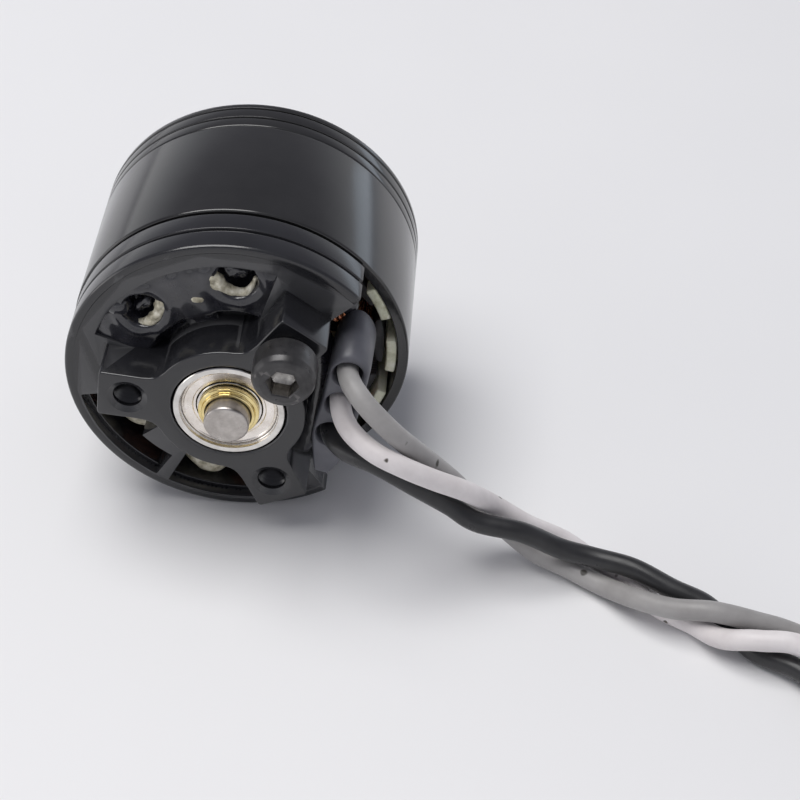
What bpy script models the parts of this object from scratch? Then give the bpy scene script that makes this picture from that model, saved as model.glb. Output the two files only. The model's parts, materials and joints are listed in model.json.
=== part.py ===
"""A brushless outrunner motor lying on its side, with its three leads laid out beside it.

The motor's own frame has its origin on the shaft axis, at the plane of the mounting arms' end faces,
with +Z running through the motor to the propeller side. Angles are read by someone who looks at the
mounting face, anticlockwise from the side where the leads come out.
"""

import math

import bmesh
import bpy
from mathutils import Vector

MM = 0.001

# Overall
BELL_RADIUS = 15.4 * MM
LIP_Z = 8.9 * MM                # the bell's open end
BELL_TOP_Z = 25.9 * MM
CAP_JOINT_Z = 22.1 * MM         # where the flux ring meets the bell cap
SHAFT_RADIUS = 2.0 * MM
SHAFT_FRONT_Z = -1.85 * MM
SHAFT_BACK_Z = 30.0 * MM
GAP = 0.3 * MM                  # between pieces that touch on the real motor
FINE_GAP = 0.1 * MM             # between pieces that are pressed or glued together

# Base
ARM_ANGLES = (52.0, 172.0, 292.0)
ARM_HALF_WIDTH = 2.45 * MM
ARM_END = 11.6 * MM
ARM_HOLE_CIRCLE = 9.0 * MM      # radius of the circle through the three mounting holes
TAPPED_HOLE_RADIUS = 1.3 * MM
THREAD_RADIUS = 1.5 * MM
HUB_RADIUS = 6.8 * MM
FLOOR_Z = 3.8 * MM
FLOOR_BACK_Z = 6.2 * MM
RING_OUTER = 15.3 * MM
RING_INNER = 13.9 * MM
RING_STEP = 14.5 * MM
RING_BACK_Z = 8.55 * MM
RING_CUT = (-59.0, 41.0)        # the sector where the ring is open for the leads
WINDOW_INNER = 7.9 * MM
UPPER_WINDOW_RADIUS = 13.1 * MM
LEDGE_RADIUS = 11.3 * MM       # the floor that stays beside the hub in one window
TUBE_RADIUS = 6.1 * MM
TUBE_TOP_Z = 19.3 * MM

# Bearings, 4 x 10 x 4 mm
BEARING_RADIUS = 5.0 * MM
BEARING_WIDTH = 4.0 * MM
FRONT_BEARING_Z = 0.05 * MM
REAR_BEARING_Z = 15.2 * MM

# Stator
TEETH = 12
STATOR_RADIUS = 13.05 * MM
STATOR_BORE = 6.4 * MM
STACK = (10.5 * MM, 20.5 * MM)
TOOTH_HALF_WIDTH = 0.9 * MM
INSULATOR_THICKNESS = 0.4 * MM

# Rotor
POLES = 14
MAGNET_INNER = 13.35 * MM
MAGNET_OUTER = 14.3 * MM
MAGNET_ARC = 15.0
FIRST_MAGNET = -3.0
MAGNET_Z = (9.1 * MM, 21.6 * MM)
FLUX_RING_INNER = 14.4 * MM

# Wire guide and leads
GUIDE_FACE_Z = 1.5 * MM
GUIDE_BACK_Z = 6.9 * MM
GUIDE_HOLES = ((10.5 * MM, 3.5 * MM), (9.75 * MM, 0.0), (8.8 * MM, -3.6 * MM))
GUIDE_HOLE_RADIUS = 1.3 * MM
GUIDE_FOOT = (8.3 * MM, -6.6 * MM)
GUIDE_TOE = (7.8 * MM, -8.3 * MM)
LEAD_DIAMETER = 1.9 * MM
TINNED_DIAMETER = 1.2 * MM
TINNED_LENGTH = 5.0 * MM

# Fitted screw, M3 socket head
HEAD_RADIUS = 2.75 * MM
HEAD_TOP_Z = -4.2 * MM
HEAD_HEIGHT = 3.0 * MM
SCREW_TIP_Z = 6.8 * MM
HEX_ACROSS_FLATS = 2.5 * MM

# Where the motor's frame sits: its axis level, the bell resting on the surface, and the motor
# centred on the world's Y axis from its front-most to its rear-most point.
MIDDLE_Z = (HEAD_TOP_Z + SHAFT_BACK_Z) / 2


def collection(name):
    made = bpy.data.collections.new(name)
    bpy.context.scene.collection.children.link(made)
    return made


def clear_scene():
    for obj in list(bpy.data.objects):
        bpy.data.objects.remove(obj, do_unlink=True)


def principled(name, colour, roughness, metallic):
    material = bpy.data.materials.new(name)
    material.use_nodes = True
    shader = material.node_tree.nodes["Principled BSDF"]
    shader.inputs["Base Color"].default_value = (*colour, 1.0)
    shader.inputs["Roughness"].default_value = roughness
    shader.inputs["Metallic"].default_value = metallic
    return material


def polar(radius, degrees):
    """A point of the motor's frame, from its distance to the axis and its angle at the mounting face."""
    return radius * math.cos(math.radians(degrees)), -radius * math.sin(math.radians(degrees))


def face_point(across, up):
    """A point of the motor's frame, from its place on the mounting face as seen in front of it."""
    return across, -up


def arc(radius, start, end, steps):
    return [polar(radius, start + (end - start) * i / steps) for i in range(steps + 1)]


def sector(inner, outer, start, end, steps):
    """The outline of a piece of a ring."""
    return arc(outer, start, end, steps) + arc(inner, end, start, steps)


def turn(points, degrees):
    """The outline turned anticlockwise on the mounting face."""
    cos = math.cos(math.radians(degrees))
    sin = math.sin(math.radians(degrees))
    return [(x * cos + y * sin, y * cos - x * sin) for x, y in points]


def add_object(name, mesh, home):
    obj = bpy.data.objects.new(name, mesh)
    home.objects.link(obj)
    return obj


def smooth(obj, degrees=35.0):
    obj.data.shade_smooth()
    obj.data.set_sharp_from_angle(angle=math.radians(degrees))


def turned(name, profile, home, segments=48, closed=True):
    """A turned solid. The profile of (radius, z) runs down its outer side, then back up its inner one."""
    mesh = bpy.data.meshes.new(name)
    count = len(profile)
    edges = [(i, i + 1) for i in range(count - 1)]
    if closed:
        edges.append((count - 1, 0))
    mesh.from_pydata([(radius, 0.0, z) for radius, z in profile], edges, [])
    obj = add_object(name, mesh, home)
    screw = obj.modifiers.new("Turn", "SCREW")
    screw.steps = segments
    screw.render_steps = segments
    screw.use_merge_vertices = True
    screw.merge_threshold = 0.000001
    screw.use_smooth_shade = True
    return settled(obj)


def settled(obj):
    """The object with its modifiers made part of its mesh."""
    bpy.context.view_layer.update()
    graph = bpy.context.evaluated_depsgraph_get()
    mesh = bpy.data.meshes.new_from_object(obj.evaluated_get(graph))
    old = obj.data
    obj.modifiers.clear()
    obj.data = mesh
    bpy.data.meshes.remove(old)
    smooth(obj)
    return obj


def plate(name, outlines, low, high, home):
    """A flat piece between two heights. Outlines after the first are holes."""
    curve = bpy.data.curves.new(name, "CURVE")
    curve.dimensions = "2D"
    curve.fill_mode = "BOTH"
    curve.extrude = (high - low) / 2
    for outline in outlines:
        spline = curve.splines.new("POLY")
        spline.points.add(len(outline) - 1)
        for point, (x, y) in zip(spline.points, outline):
            point.co = (x, y, 0.0, 1.0)
        spline.use_cyclic_u = True
    guide = bpy.data.objects.new(name + "_outline", curve)
    home.objects.link(guide)
    bpy.context.view_layer.update()
    graph = bpy.context.evaluated_depsgraph_get()
    mesh = bpy.data.meshes.new_from_object(guide.evaluated_get(graph))
    bpy.data.objects.remove(guide, do_unlink=True)
    bpy.data.curves.remove(curve)
    shape = bmesh.new()
    shape.from_mesh(mesh)
    bmesh.ops.remove_doubles(shape, verts=shape.verts, dist=0.000001)
    bmesh.ops.translate(shape, verts=shape.verts, vec=(0.0, 0.0, (low + high) / 2))
    bmesh.ops.recalc_face_normals(shape, faces=shape.faces)
    shape.to_mesh(mesh)
    shape.free()
    return add_object(name, mesh, home)


def cylinder(name, radius, low, high, place, home, segments=24):
    """An upright cylinder between two heights, at a place on the mounting face."""
    mesh = bpy.data.meshes.new(name)
    shape = bmesh.new()
    bmesh.ops.create_cone(
        shape, cap_ends=True, segments=segments, radius1=radius, radius2=radius, depth=high - low
    )
    bmesh.ops.translate(shape, verts=shape.verts, vec=(place[0], place[1], (low + high) / 2))
    shape.to_mesh(mesh)
    shape.free()
    return add_object(name, mesh, home)


def combine(obj, others, operation, helpers):
    """Joins the others to the object or cuts them from it, and keeps them as hidden helpers."""
    for other in others:
        boolean = obj.modifiers.new(operation.title(), "BOOLEAN")
        boolean.operation = operation
        boolean.solver = "EXACT"
        boolean.object = other
    settled(obj)
    for other in others:
        hide(other, helpers)
    return obj


def hide(obj, helpers):
    for home in list(obj.users_collection):
        home.objects.unlink(obj)
    helpers.objects.link(obj)
    obj.hide_render = True
    obj.display_type = "WIRE"


def finish(obj, material, parent):
    obj.data.materials.clear()
    obj.data.materials.append(material)
    obj.parent = parent
    return obj


def empty(name, home, parent=None):
    obj = bpy.data.objects.new(name, None)
    home.objects.link(obj)
    obj.parent = parent
    return obj


# Base


def hub_and_arms_outline():
    """The face that bolts to the airframe: a round hub with three square-ended arms."""
    outline = []
    for angle in ARM_ANGLES:
        arm = [
            (HUB_RADIUS - 0.55 * MM, 3.0 * MM),
            (HUB_RADIUS + 0.1 * MM, 2.62 * MM),
            (HUB_RADIUS + 1.1 * MM, ARM_HALF_WIDTH),
            (ARM_END - 0.25 * MM, ARM_HALF_WIDTH),
            (ARM_END, ARM_HALF_WIDTH - 0.25 * MM),
        ]
        outline += turn([(x, y) for x, y in arm], angle)
        outline += turn([(x, -y) for x, y in reversed(arm)], angle)
        outline += arc(HUB_RADIUS, angle + 29.0, angle + 91.0, 9)
    return outline


def flange_windows():
    """Start, end, inner and outer radius of each opening through the floor. Two of them join."""
    outer = RING_STEP - 0.2 * MM
    return (
        (70.0, 99.0, HUB_RADIUS + 0.05 * MM, UPPER_WINDOW_RADIUS),
        (122.0, 157.0, HUB_RADIUS + 0.05 * MM, UPPER_WINDOW_RADIUS),
        (188.5, 217.0, WINDOW_INNER, outer),
        (215.0, 235.5, LEDGE_RADIUS, outer),
        (240.5, 276.0, WINDOW_INNER, outer),
    )


def base_mount(parts, helpers):
    hub = plate("base_mount", [hub_and_arms_outline()], 0.0, FLOOR_BACK_Z - 0.1 * MM, parts)
    ring = turned(
        "base_ring",
        [
            (RING_OUTER, RING_BACK_Z),
            (RING_OUTER, 6.5 * MM),
            (RING_OUTER - 0.3 * MM, 6.4 * MM),
            (RING_OUTER - 0.3 * MM, 6.1 * MM),
            (RING_OUTER, 6.0 * MM),
            (RING_OUTER, FLOOR_Z + 0.35 * MM),
            (RING_OUTER - 0.1 * MM, FLOOR_Z + 0.1 * MM),
            (RING_OUTER - 0.35 * MM, FLOOR_Z),
            (RING_STEP, FLOOR_Z),
            (RING_STEP, FLOOR_Z + 1.0 * MM),
            (RING_INNER, FLOOR_Z + 1.0 * MM),
            (RING_INNER, RING_BACK_Z),
        ],
        helpers,
        96,
    )
    floor = plate(
        "base_floor",
        [arc(RING_STEP + 0.2 * MM, 0.0, 352.5, 47), arc(TUBE_RADIUS - 0.4 * MM, 0.0, 345.0, 23)],
        FLOOR_Z + 0.02 * MM,
        FLOOR_BACK_Z,
        helpers,
    )
    tube = turned(
        "base_tube",
        [
            (TUBE_RADIUS, TUBE_TOP_Z),
            (TUBE_RADIUS, FLOOR_BACK_Z - 0.6 * MM),
            (TUBE_RADIUS - 1.6 * MM, FLOOR_BACK_Z - 0.6 * MM),
            (TUBE_RADIUS - 1.6 * MM, TUBE_TOP_Z),
        ],
        helpers,
    )
    combine(hub, [ring, floor, tube], "UNION", helpers)
    cutters = []
    for index, (start, end, inner, outer) in enumerate(flange_windows()):
        outline = sector(inner, outer, start, end, 6)
        cutters.append(
            plate("window_%d" % index, [outline], FLOOR_Z - 0.4 * MM, FLOOR_BACK_Z + 0.4 * MM, helpers)
        )
    lead_gap = sector(HUB_RADIUS + 0.5 * MM, RING_OUTER + 1.0 * MM, *RING_CUT, 16)
    cutters.append(plate("lead_gap", [lead_gap], FLOOR_Z - 0.3 * MM, RING_BACK_Z + 1.0 * MM, helpers))
    bore = turned(
        "base_bore",
        [
            (0.0, TUBE_TOP_Z + 1.0 * MM),
            (BEARING_RADIUS + FINE_GAP, TUBE_TOP_Z + 1.0 * MM),
            (BEARING_RADIUS + FINE_GAP, REAR_BEARING_Z - FINE_GAP),
            (BEARING_RADIUS - 0.8 * MM, REAR_BEARING_Z - FINE_GAP),
            (BEARING_RADIUS - 0.8 * MM, FRONT_BEARING_Z + BEARING_WIDTH + FINE_GAP),
            (BEARING_RADIUS + FINE_GAP, FRONT_BEARING_Z + BEARING_WIDTH + FINE_GAP),
            (BEARING_RADIUS + FINE_GAP, 0.2 * MM),
            (BEARING_RADIUS + FINE_GAP + 0.2 * MM, 0.0),
            (BEARING_RADIUS + FINE_GAP + 0.2 * MM, -1.0 * MM),
            (0.0, -1.0 * MM),
        ],
        helpers,
        closed=False,
    )
    cutters.append(bore)
    for index, angle in enumerate(ARM_ANGLES):
        radius = THREAD_RADIUS + 0.1 * MM if index == 0 else TAPPED_HOLE_RADIUS
        hole = turned(
            "arm_hole_%d" % index,
            [
                (0.0, FLOOR_BACK_Z + 1.0 * MM),
                (radius, FLOOR_BACK_Z + 1.0 * MM),
                (radius, 0.3 * MM),
                (THREAD_RADIUS + 0.25 * MM, 0.0),
                (THREAD_RADIUS + 0.25 * MM, -1.0 * MM),
                (0.0, -1.0 * MM),
            ],
            helpers,
            24,
            closed=False,
        )
        x, y = polar(ARM_HOLE_CIRCLE, angle)
        for vertex in hole.data.vertices:
            vertex.co.x += x
            vertex.co.y += y
        cutters.append(hole)
    combine(hub, cutters, "DIFFERENCE", helpers)
    return hub


# Fitted screw


def mounting_screw(parts, helpers):
    under_z = HEAD_TOP_Z + HEAD_HEIGHT
    profile = [
        (0.0, SCREW_TIP_Z),
        (THREAD_RADIUS - 0.4 * MM, SCREW_TIP_Z),
        (THREAD_RADIUS, SCREW_TIP_Z - 0.4 * MM),
        (THREAD_RADIUS, under_z),
        (HEAD_RADIUS - 0.1 * MM, under_z),
        (HEAD_RADIUS, under_z - 0.1 * MM),
        (HEAD_RADIUS, HEAD_TOP_Z + 0.75 * MM),
        (HEAD_RADIUS - 0.12 * MM, HEAD_TOP_Z + 0.4 * MM),
        (HEAD_RADIUS - 0.4 * MM, HEAD_TOP_Z + 0.12 * MM),
        (HEAD_RADIUS - 0.8 * MM, HEAD_TOP_Z),
        (0.0, HEAD_TOP_Z),
    ]
    screw = turned("mounting_screw", profile, parts, 32, closed=False)
    corner = HEX_ACROSS_FLATS / math.sqrt(3.0)
    top = HEAD_TOP_Z - 1.0 * MM
    bottom = HEAD_TOP_Z + 1.6 * MM
    socket = cylinder("hex_socket", corner, top, bottom, (0.0, 0.0), helpers, 6)
    combine(screw, [socket], "DIFFERENCE", helpers)
    x, y = polar(ARM_HOLE_CIRCLE, ARM_ANGLES[0])
    screw.location = (x, y, 0.0)
    return screw


# Bearings


def outer_ring_profile(low):
    high = low + BEARING_WIDTH
    edge = 0.15 * MM
    return [
        (BEARING_RADIUS - edge, high),
        (BEARING_RADIUS, high - edge),
        (BEARING_RADIUS, low + edge),
        (BEARING_RADIUS - edge, low),
        (BEARING_RADIUS - 0.5 * MM, low),
        (BEARING_RADIUS - 0.62 * MM, low + 0.12 * MM),
        (BEARING_RADIUS - 0.62 * MM, high - 0.12 * MM),
        (BEARING_RADIUS - 0.5 * MM, high),
    ]


def inner_ring_profile(low, inset):
    high = low + BEARING_WIDTH - inset
    low = low + inset
    return [
        (SHAFT_RADIUS + 0.9 * MM, high),
        (SHAFT_RADIUS + 0.9 * MM, low),
        (SHAFT_RADIUS + 0.08 * MM, low),
        (SHAFT_RADIUS + 0.08 * MM, high),
    ]


def shield_profile(low):
    outer = BEARING_RADIUS - 0.7 * MM
    inner = SHAFT_RADIUS + 1.0 * MM
    return [
        (outer, low + 0.2 * MM),
        (outer, low + 0.06 * MM),
        (outer - 0.15 * MM, low),
        (inner, low),
        (inner, low + 0.2 * MM),
    ]


# Stator


def stator_outline():
    outline = []
    step = 360.0 / TEETH
    root = 8.0 * MM
    neck = 12.1 * MM
    for tooth in range(TEETH):
        angle = tooth * step
        root_half = math.degrees(math.asin(TOOTH_HALF_WIDTH / root))
        neck_half = math.degrees(math.asin(TOOTH_HALF_WIDTH / neck))
        outline.append(polar(root, angle - root_half))
        outline.append(polar(neck, angle - neck_half))
        outline += arc(STATOR_RADIUS, angle - 11.5, angle + 11.5, 4)
        outline.append(polar(neck, angle + neck_half))
        outline.append(polar(root, angle + root_half))
        outline.append(polar(root, angle + step / 2))
    return outline


def insulator_outline():
    outline = []
    step = 360.0 / TEETH
    root = 8.2 * MM
    end = 12.0 * MM
    half = TOOTH_HALF_WIDTH + 0.2 * MM
    for tooth in range(TEETH):
        angle = tooth * step
        root_half = math.degrees(math.asin(half / root))
        end_half = math.degrees(math.asin(half / end))
        outline.append(polar(root, angle - root_half))
        outline.append(polar(end, angle - end_half))
        outline.append(polar(end, angle + end_half))
        outline.append(polar(root, angle + root_half))
        outline.append(polar(root, angle + step / 2))
    return outline


def rounded_rectangle(half_x, half_y, corner, steps=2):
    outline = []
    for quarter in range(4):
        sign_x = 1.0 if quarter in (0, 3) else -1.0
        sign_y = 1.0 if quarter in (0, 1) else -1.0
        for i in range(steps + 1):
            angle = math.radians(90.0 * quarter + 90.0 * i / steps)
            outline.append(
                (
                    sign_x * (half_x - corner) + corner * math.cos(angle),
                    sign_y * (half_y - corner) + corner * math.sin(angle),
                )
            )
    return outline


def coil_mesh(helpers):
    """One tooth's winding, standing on the tooth at angle 0: a sleeve that widens outwards."""
    inner_radius = 8.5 * MM
    outer_radius = 11.7 * MM
    half_stack = (STACK[1] - STACK[0]) / 2
    hole_half = TOOTH_HALF_WIDTH + 0.4 * MM
    hole_height = half_stack + INSULATOR_THICKNESS + 0.3 * MM
    outer = rounded_rectangle(hole_half + 0.7 * MM, hole_height + 1.3 * MM, 0.9 * MM)
    hole = rounded_rectangle(hole_half, hole_height, 0.3 * MM, 1)
    sleeve = plate("winding", [outer, hole], inner_radius, outer_radius, helpers)
    widen = 0.5 * MM
    middle_z = (STACK[0] + STACK[1]) / 2
    for vertex in sleeve.data.vertices:
        side, height, radius = vertex.co
        if radius > (inner_radius + outer_radius) / 2 and abs(side) > hole_half + 0.2 * MM:
            side += math.copysign(widen, side)
        vertex.co = (radius, side, middle_z + height)
    mesh = sleeve.data
    bpy.data.objects.remove(sleeve, do_unlink=True)
    shape = bmesh.new()
    shape.from_mesh(mesh)
    bmesh.ops.recalc_face_normals(shape, faces=shape.faces)
    shape.to_mesh(mesh)
    shape.free()
    return mesh


# Rotor


def flux_ring(parts):
    profile = [
        (BELL_RADIUS, CAP_JOINT_Z - 0.08 * MM),
        (BELL_RADIUS, LIP_Z + 0.25 * MM),
        (BELL_RADIUS - 0.08 * MM, LIP_Z + 0.07 * MM),
        (BELL_RADIUS - 0.25 * MM, LIP_Z),
        (FLUX_RING_INNER + 0.15 * MM, LIP_Z),
        (FLUX_RING_INNER, LIP_Z + 0.15 * MM),
        (FLUX_RING_INNER, CAP_JOINT_Z - 0.08 * MM),
    ]
    return turned("flux_ring", profile, parts, 96)


def groove(z, depth=0.25 * MM, half=0.16 * MM):
    """A groove round the bell, as points down its outer side."""
    return [
        (BELL_RADIUS, z + half),
        (BELL_RADIUS - depth, z + half * 0.4),
        (BELL_RADIUS - depth, z - half * 0.4),
        (BELL_RADIUS, z - half),
    ]


def bell_cap(parts, helpers):
    seat_z = 27.2 * MM
    profile = [
        (SHAFT_RADIUS + 0.06 * MM, seat_z),
        (7.4 * MM, seat_z),
        (7.6 * MM, seat_z - 0.2 * MM),
        (7.6 * MM, BELL_TOP_Z),
        (14.0 * MM, BELL_TOP_Z),
        (BELL_RADIUS - 0.3 * MM, BELL_TOP_Z),
        (BELL_RADIUS - 0.08 * MM, BELL_TOP_Z - 0.1 * MM),
        (BELL_RADIUS, BELL_TOP_Z - 0.3 * MM),
        *groove(25.0 * MM),
        *groove(23.5 * MM),
        (BELL_RADIUS, CAP_JOINT_Z + 0.22 * MM),
        (BELL_RADIUS - 0.2 * MM, CAP_JOINT_Z + 0.05 * MM),
        (FLUX_RING_INNER, CAP_JOINT_Z + 0.05 * MM),
        (FLUX_RING_INNER - 0.4 * MM, 23.4 * MM),
        (4.6 * MM, 23.4 * MM),
        (4.6 * MM, 20.0 * MM),
        (SHAFT_RADIUS + 0.06 * MM, 20.0 * MM),
    ]
    cap = turned("bell_cap", profile, parts, 96)
    cutters = []
    for vent in range(6):
        start = 60.0 * vent + 10.0
        outline = sector(8.6 * MM, 12.9 * MM, start, start + 40.0, 5)
        cutters.append(
            plate("vent_%d" % vent, [outline], 23.0 * MM, BELL_TOP_Z + 1.0 * MM, helpers)
        )
    for hole in range(4):
        place = polar(6.0 * MM, 45.0 + 90.0 * hole)
        cutters.append(
            cylinder("prop_hole_%d" % hole, 1.05 * MM, 24.2 * MM, seat_z + 1.0 * MM, place, helpers, 16)
        )
    return combine(cap, cutters, "DIFFERENCE", helpers)


def shaft(parts):
    chamfer = 0.22 * MM
    profile = [
        (0.0, SHAFT_BACK_Z),
        (SHAFT_RADIUS - chamfer, SHAFT_BACK_Z),
        (SHAFT_RADIUS, SHAFT_BACK_Z - chamfer),
        (SHAFT_RADIUS, SHAFT_FRONT_Z + chamfer),
        (SHAFT_RADIUS - chamfer, SHAFT_FRONT_Z),
        (0.0, SHAFT_FRONT_Z),
    ]
    return turned("shaft", profile, parts, 48, closed=False)


def brass_collar(parts):
    """The collar that holds the shaft against the front bearing, with a step in its face."""
    bore = SHAFT_RADIUS + 0.06 * MM
    profile = [
        (2.72 * MM, 0.42 * MM),
        (2.72 * MM, 0.02 * MM),
        (2.6 * MM, -0.1 * MM),
        (2.42 * MM, -0.12 * MM),
        (2.36 * MM, -0.34 * MM),
        (2.24 * MM, -0.42 * MM),
        (bore, -0.42 * MM),
        (bore, 0.42 * MM),
    ]
    return turned("brass_collar", profile, parts, 48)


def magnet_outline():
    half = MAGNET_ARC / 2
    return sector(MAGNET_INNER, MAGNET_OUTER, -half, half, 4)


# Wire guide


def guide_outline(outer_half, inner_half, end_radius):
    """A bar that follows the three lead holes, rounded at its upper end and narrower at its lower one."""
    line = [Vector(place) for place in GUIDE_HOLES] + [Vector(GUIDE_FOOT), Vector(GUIDE_TOE)]
    shares = (1.0, 1.0, 1.0, 0.75, 0.4)
    outer = []
    inner = []
    for index, place in enumerate(line):
        before = line[max(index - 1, 0)]
        after = line[min(index + 1, len(line) - 1)]
        along = (before - after).normalized()
        side = Vector((along.y, -along.x))
        outer.append(place + side * outer_half * shares[index])
        inner.append(place - side * inner_half * shares[index])
    top = line[0]
    up = (line[0] - line[1]).normalized()
    right = Vector((up.y, -up.x))
    steps = 6
    cap = []
    for i in range(1, steps):
        turn_by = math.pi * i / steps
        width = outer_half if i < steps / 2 else inner_half
        cap.append(top + right * math.cos(turn_by) * width + up * math.sin(turn_by) * end_radius)
    points = list(reversed(outer)) + cap + inner
    return [face_point(point.x, point.y) for point in points]


def wire_guide(parts, helpers):
    """A moulded bar that flares towards the stator, lofted between its front and back outlines."""
    sections = (
        (GUIDE_FACE_Z, guide_outline(1.75 * MM, 1.6 * MM, 1.9 * MM)),
        (GUIDE_FACE_Z + 0.3 * MM, guide_outline(1.95 * MM, 1.7 * MM, 2.15 * MM)),
        (GUIDE_FACE_Z + 1.8 * MM, guide_outline(2.0 * MM, 1.7 * MM, 2.6 * MM)),
        (GUIDE_BACK_Z - 1.2 * MM, guide_outline(2.1 * MM, 1.6 * MM, 3.0 * MM)),
        (GUIDE_BACK_Z, guide_outline(2.1 * MM, 1.6 * MM, 3.2 * MM)),
    )
    mesh = bpy.data.meshes.new("wire_guide")
    shape = bmesh.new()
    rings = []
    for z, outline in sections:
        rings.append([shape.verts.new((x, y, z)) for x, y in outline])
    count = len(rings[0])
    for low, high in zip(rings, rings[1:]):
        for i in range(count):
            j = (i + 1) % count
            shape.faces.new((low[i], low[j], high[j], high[i]))
    shape.faces.new(rings[0])
    shape.faces.new(rings[-1])
    bmesh.ops.recalc_face_normals(shape, faces=shape.faces)
    shape.to_mesh(mesh)
    shape.free()
    guide = add_object("wire_guide", mesh, parts)
    holes = []
    for index, (across, up) in enumerate(GUIDE_HOLES):
        place = face_point(across, up)
        holes.append(
            cylinder(
                "lead_hole_%d" % index,
                GUIDE_HOLE_RADIUS,
                GUIDE_FACE_Z - 1.0 * MM,
                GUIDE_BACK_Z + 1.0 * MM,
                place,
                helpers,
            )
        )
    return combine(guide, holes, "DIFFERENCE", helpers)


# Leads. Each route is in world millimetres, from inside the wire guide to the cut end.

LEAD_ROUTES = {
    "lead_grey": [
        (10.5, -7.0, 18.9), (10.5, -11.2, 18.9), (11.7, -13.7, 18.5), (13.5, -15.1, 17.2),
        (15.4, -15.4, 15.2), (17.6, -14.3, 11.9), (20.1, -13.9, 8.8), (22.3, -13.6, 5.6),
        (24.9, -13.7, 3.0), (27.7, -15.0, 1.4), (30.7, -16.7, 1.3), (33.8, -18.6, 1.2),
        (36.9, -21.2, 2.4), (39.8, -22.6, 3.0), (43.2, -23.3, 3.6), (46.8, -23.6, 2.9),
        (50.5, -24.0, 1.9), (57.0, -27.1, 1.1), (63.0, -28.6, 1.0), (69.5, -29.8, 1.0),
        (76.0, -30.2, 1.0),
    ],
    "lead_white": [
        (9.75, -7.0, 15.4), (9.75, -11.2, 15.4), (10.7, -14.0, 15.0), (12.9, -16.2, 14.5),
        (15.4, -17.1, 13.7), (18.3, -16.9, 12.0), (21.3, -16.2, 10.0), (23.9, -14.6, 6.7),
        (26.9, -14.4, 4.3), (30.2, -14.3, 2.4), (33.4, -15.8, 1.1), (36.3, -17.9, 1.1),
        (38.6, -20.6, 1.0), (41.5, -22.6, 1.2), (43.9, -24.9, 2.0), (46.9, -26.1, 3.3),
        (50.8, -26.7, 3.4), (57.4, -29.4, 1.5), (63.0, -31.4, 1.0), (69.5, -32.3, 1.0),
        (76.0, -32.6, 1.0),
    ],
    "lead_black": [
        (8.8, -7.0, 11.8), (8.8, -11.0, 11.8), (10.3, -13.7, 12.1), (13.3, -15.5, 12.2),
        (16.5, -16.3, 10.7), (19.7, -16.2, 8.3), (22.2, -16.8, 6.9), (26.3, -17.0, 6.0),
        (29.9, -16.8, 3.9), (33.0, -17.1, 3.2), (36.4, -18.3, 3.3), (39.8, -20.0, 2.7),
        (42.8, -21.2, 2.1), (45.0, -23.1, 1.1), (47.1, -25.5, 1.0), (50.8, -27.9, 1.4),
        (56.9, -33.4, 1.0), (63.0, -34.4, 1.0), (69.5, -35.0, 1.0), (76.0, -35.2, 1.0),
    ],
}
POINT_SPACING = 2.5 * MM


def smooth_route(points, spacing):
    """Points at an even spacing along a smooth curve through the route's own points."""
    knots = [Vector(point) * MM for point in points]
    fine = []
    for index in range(len(knots) - 1):
        p0 = knots[max(index - 1, 0)]
        p1 = knots[index]
        p2 = knots[index + 1]
        p3 = knots[min(index + 2, len(knots) - 1)]
        for step in range(24):
            t = step / 24
            fine.append(
                0.5
                * (
                    2 * p1
                    + (p2 - p0) * t
                    + (2 * p0 - 5 * p1 + 4 * p2 - p3) * t**2
                    + (3 * p1 - p0 - 3 * p2 + p3) * t**3
                )
            )
    fine.append(knots[-1])
    total = sum((b - a).length for a, b in zip(fine, fine[1:]))
    count = max(2, round(total / spacing))
    even = [fine[0]]
    walked = 0.0
    for a, b in zip(fine, fine[1:]):
        length = (b - a).length
        while len(even) < count and walked + length >= total * len(even) / count:
            share = (total * len(even) / count - walked) / length
            even.append(a.lerp(b, share))
        walked += length
    even.append(fine[-1])
    return even


def round_wire(name, points, diameter, home):
    curve = bpy.data.curves.new(name, "CURVE")
    curve.dimensions = "3D"
    curve.bevel_depth = diameter / 2
    curve.bevel_resolution = 2
    curve.use_fill_caps = True
    spline = curve.splines.new("POLY")
    spline.points.add(len(points) - 1)
    for knot, point in zip(spline.points, points):
        knot.co = (*point, 1.0)
    obj = bpy.data.objects.new(name, curve)
    home.objects.link(obj)
    return obj


def build_leads(parts, materials):
    for name, route in LEAD_ROUTES.items():
        points = smooth_route(route, POINT_SPACING)
        lead = round_wire(name, points, LEAD_DIAMETER, parts)
        lead.data.materials.append(materials[name])
        ahead = (points[-1] - points[-2]).normalized()
        start = points[-1] + ahead * GAP
        tip_points = [start, start + ahead * TINNED_LENGTH / 2, start + ahead * TINNED_LENGTH]
        tip = round_wire(name.replace("lead", "tinned_end"), tip_points, TINNED_DIAMETER, parts)
        tip.data.materials.append(materials["tinned_end"])


def build_bearings(parts, materials, stator_frame, rotor_frame):
    for name, low, facing in (("front", FRONT_BEARING_Z, 0.5 * MM), ("rear", REAR_BEARING_Z, 3.3 * MM)):
        outer = turned(name + "_bearing_outer_ring", outer_ring_profile(low), parts)
        finish(outer, materials["bearing_steel"], stator_frame)
        shield = turned(name + "_bearing_shield", shield_profile(low + facing), parts)
        finish(shield, materials["bearing_shield"], stator_frame)
        inner = turned(name + "_bearing_inner_ring", inner_ring_profile(low, 0.5 * MM), parts)
        finish(inner, materials["bearing_steel"], rotor_frame)


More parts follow.
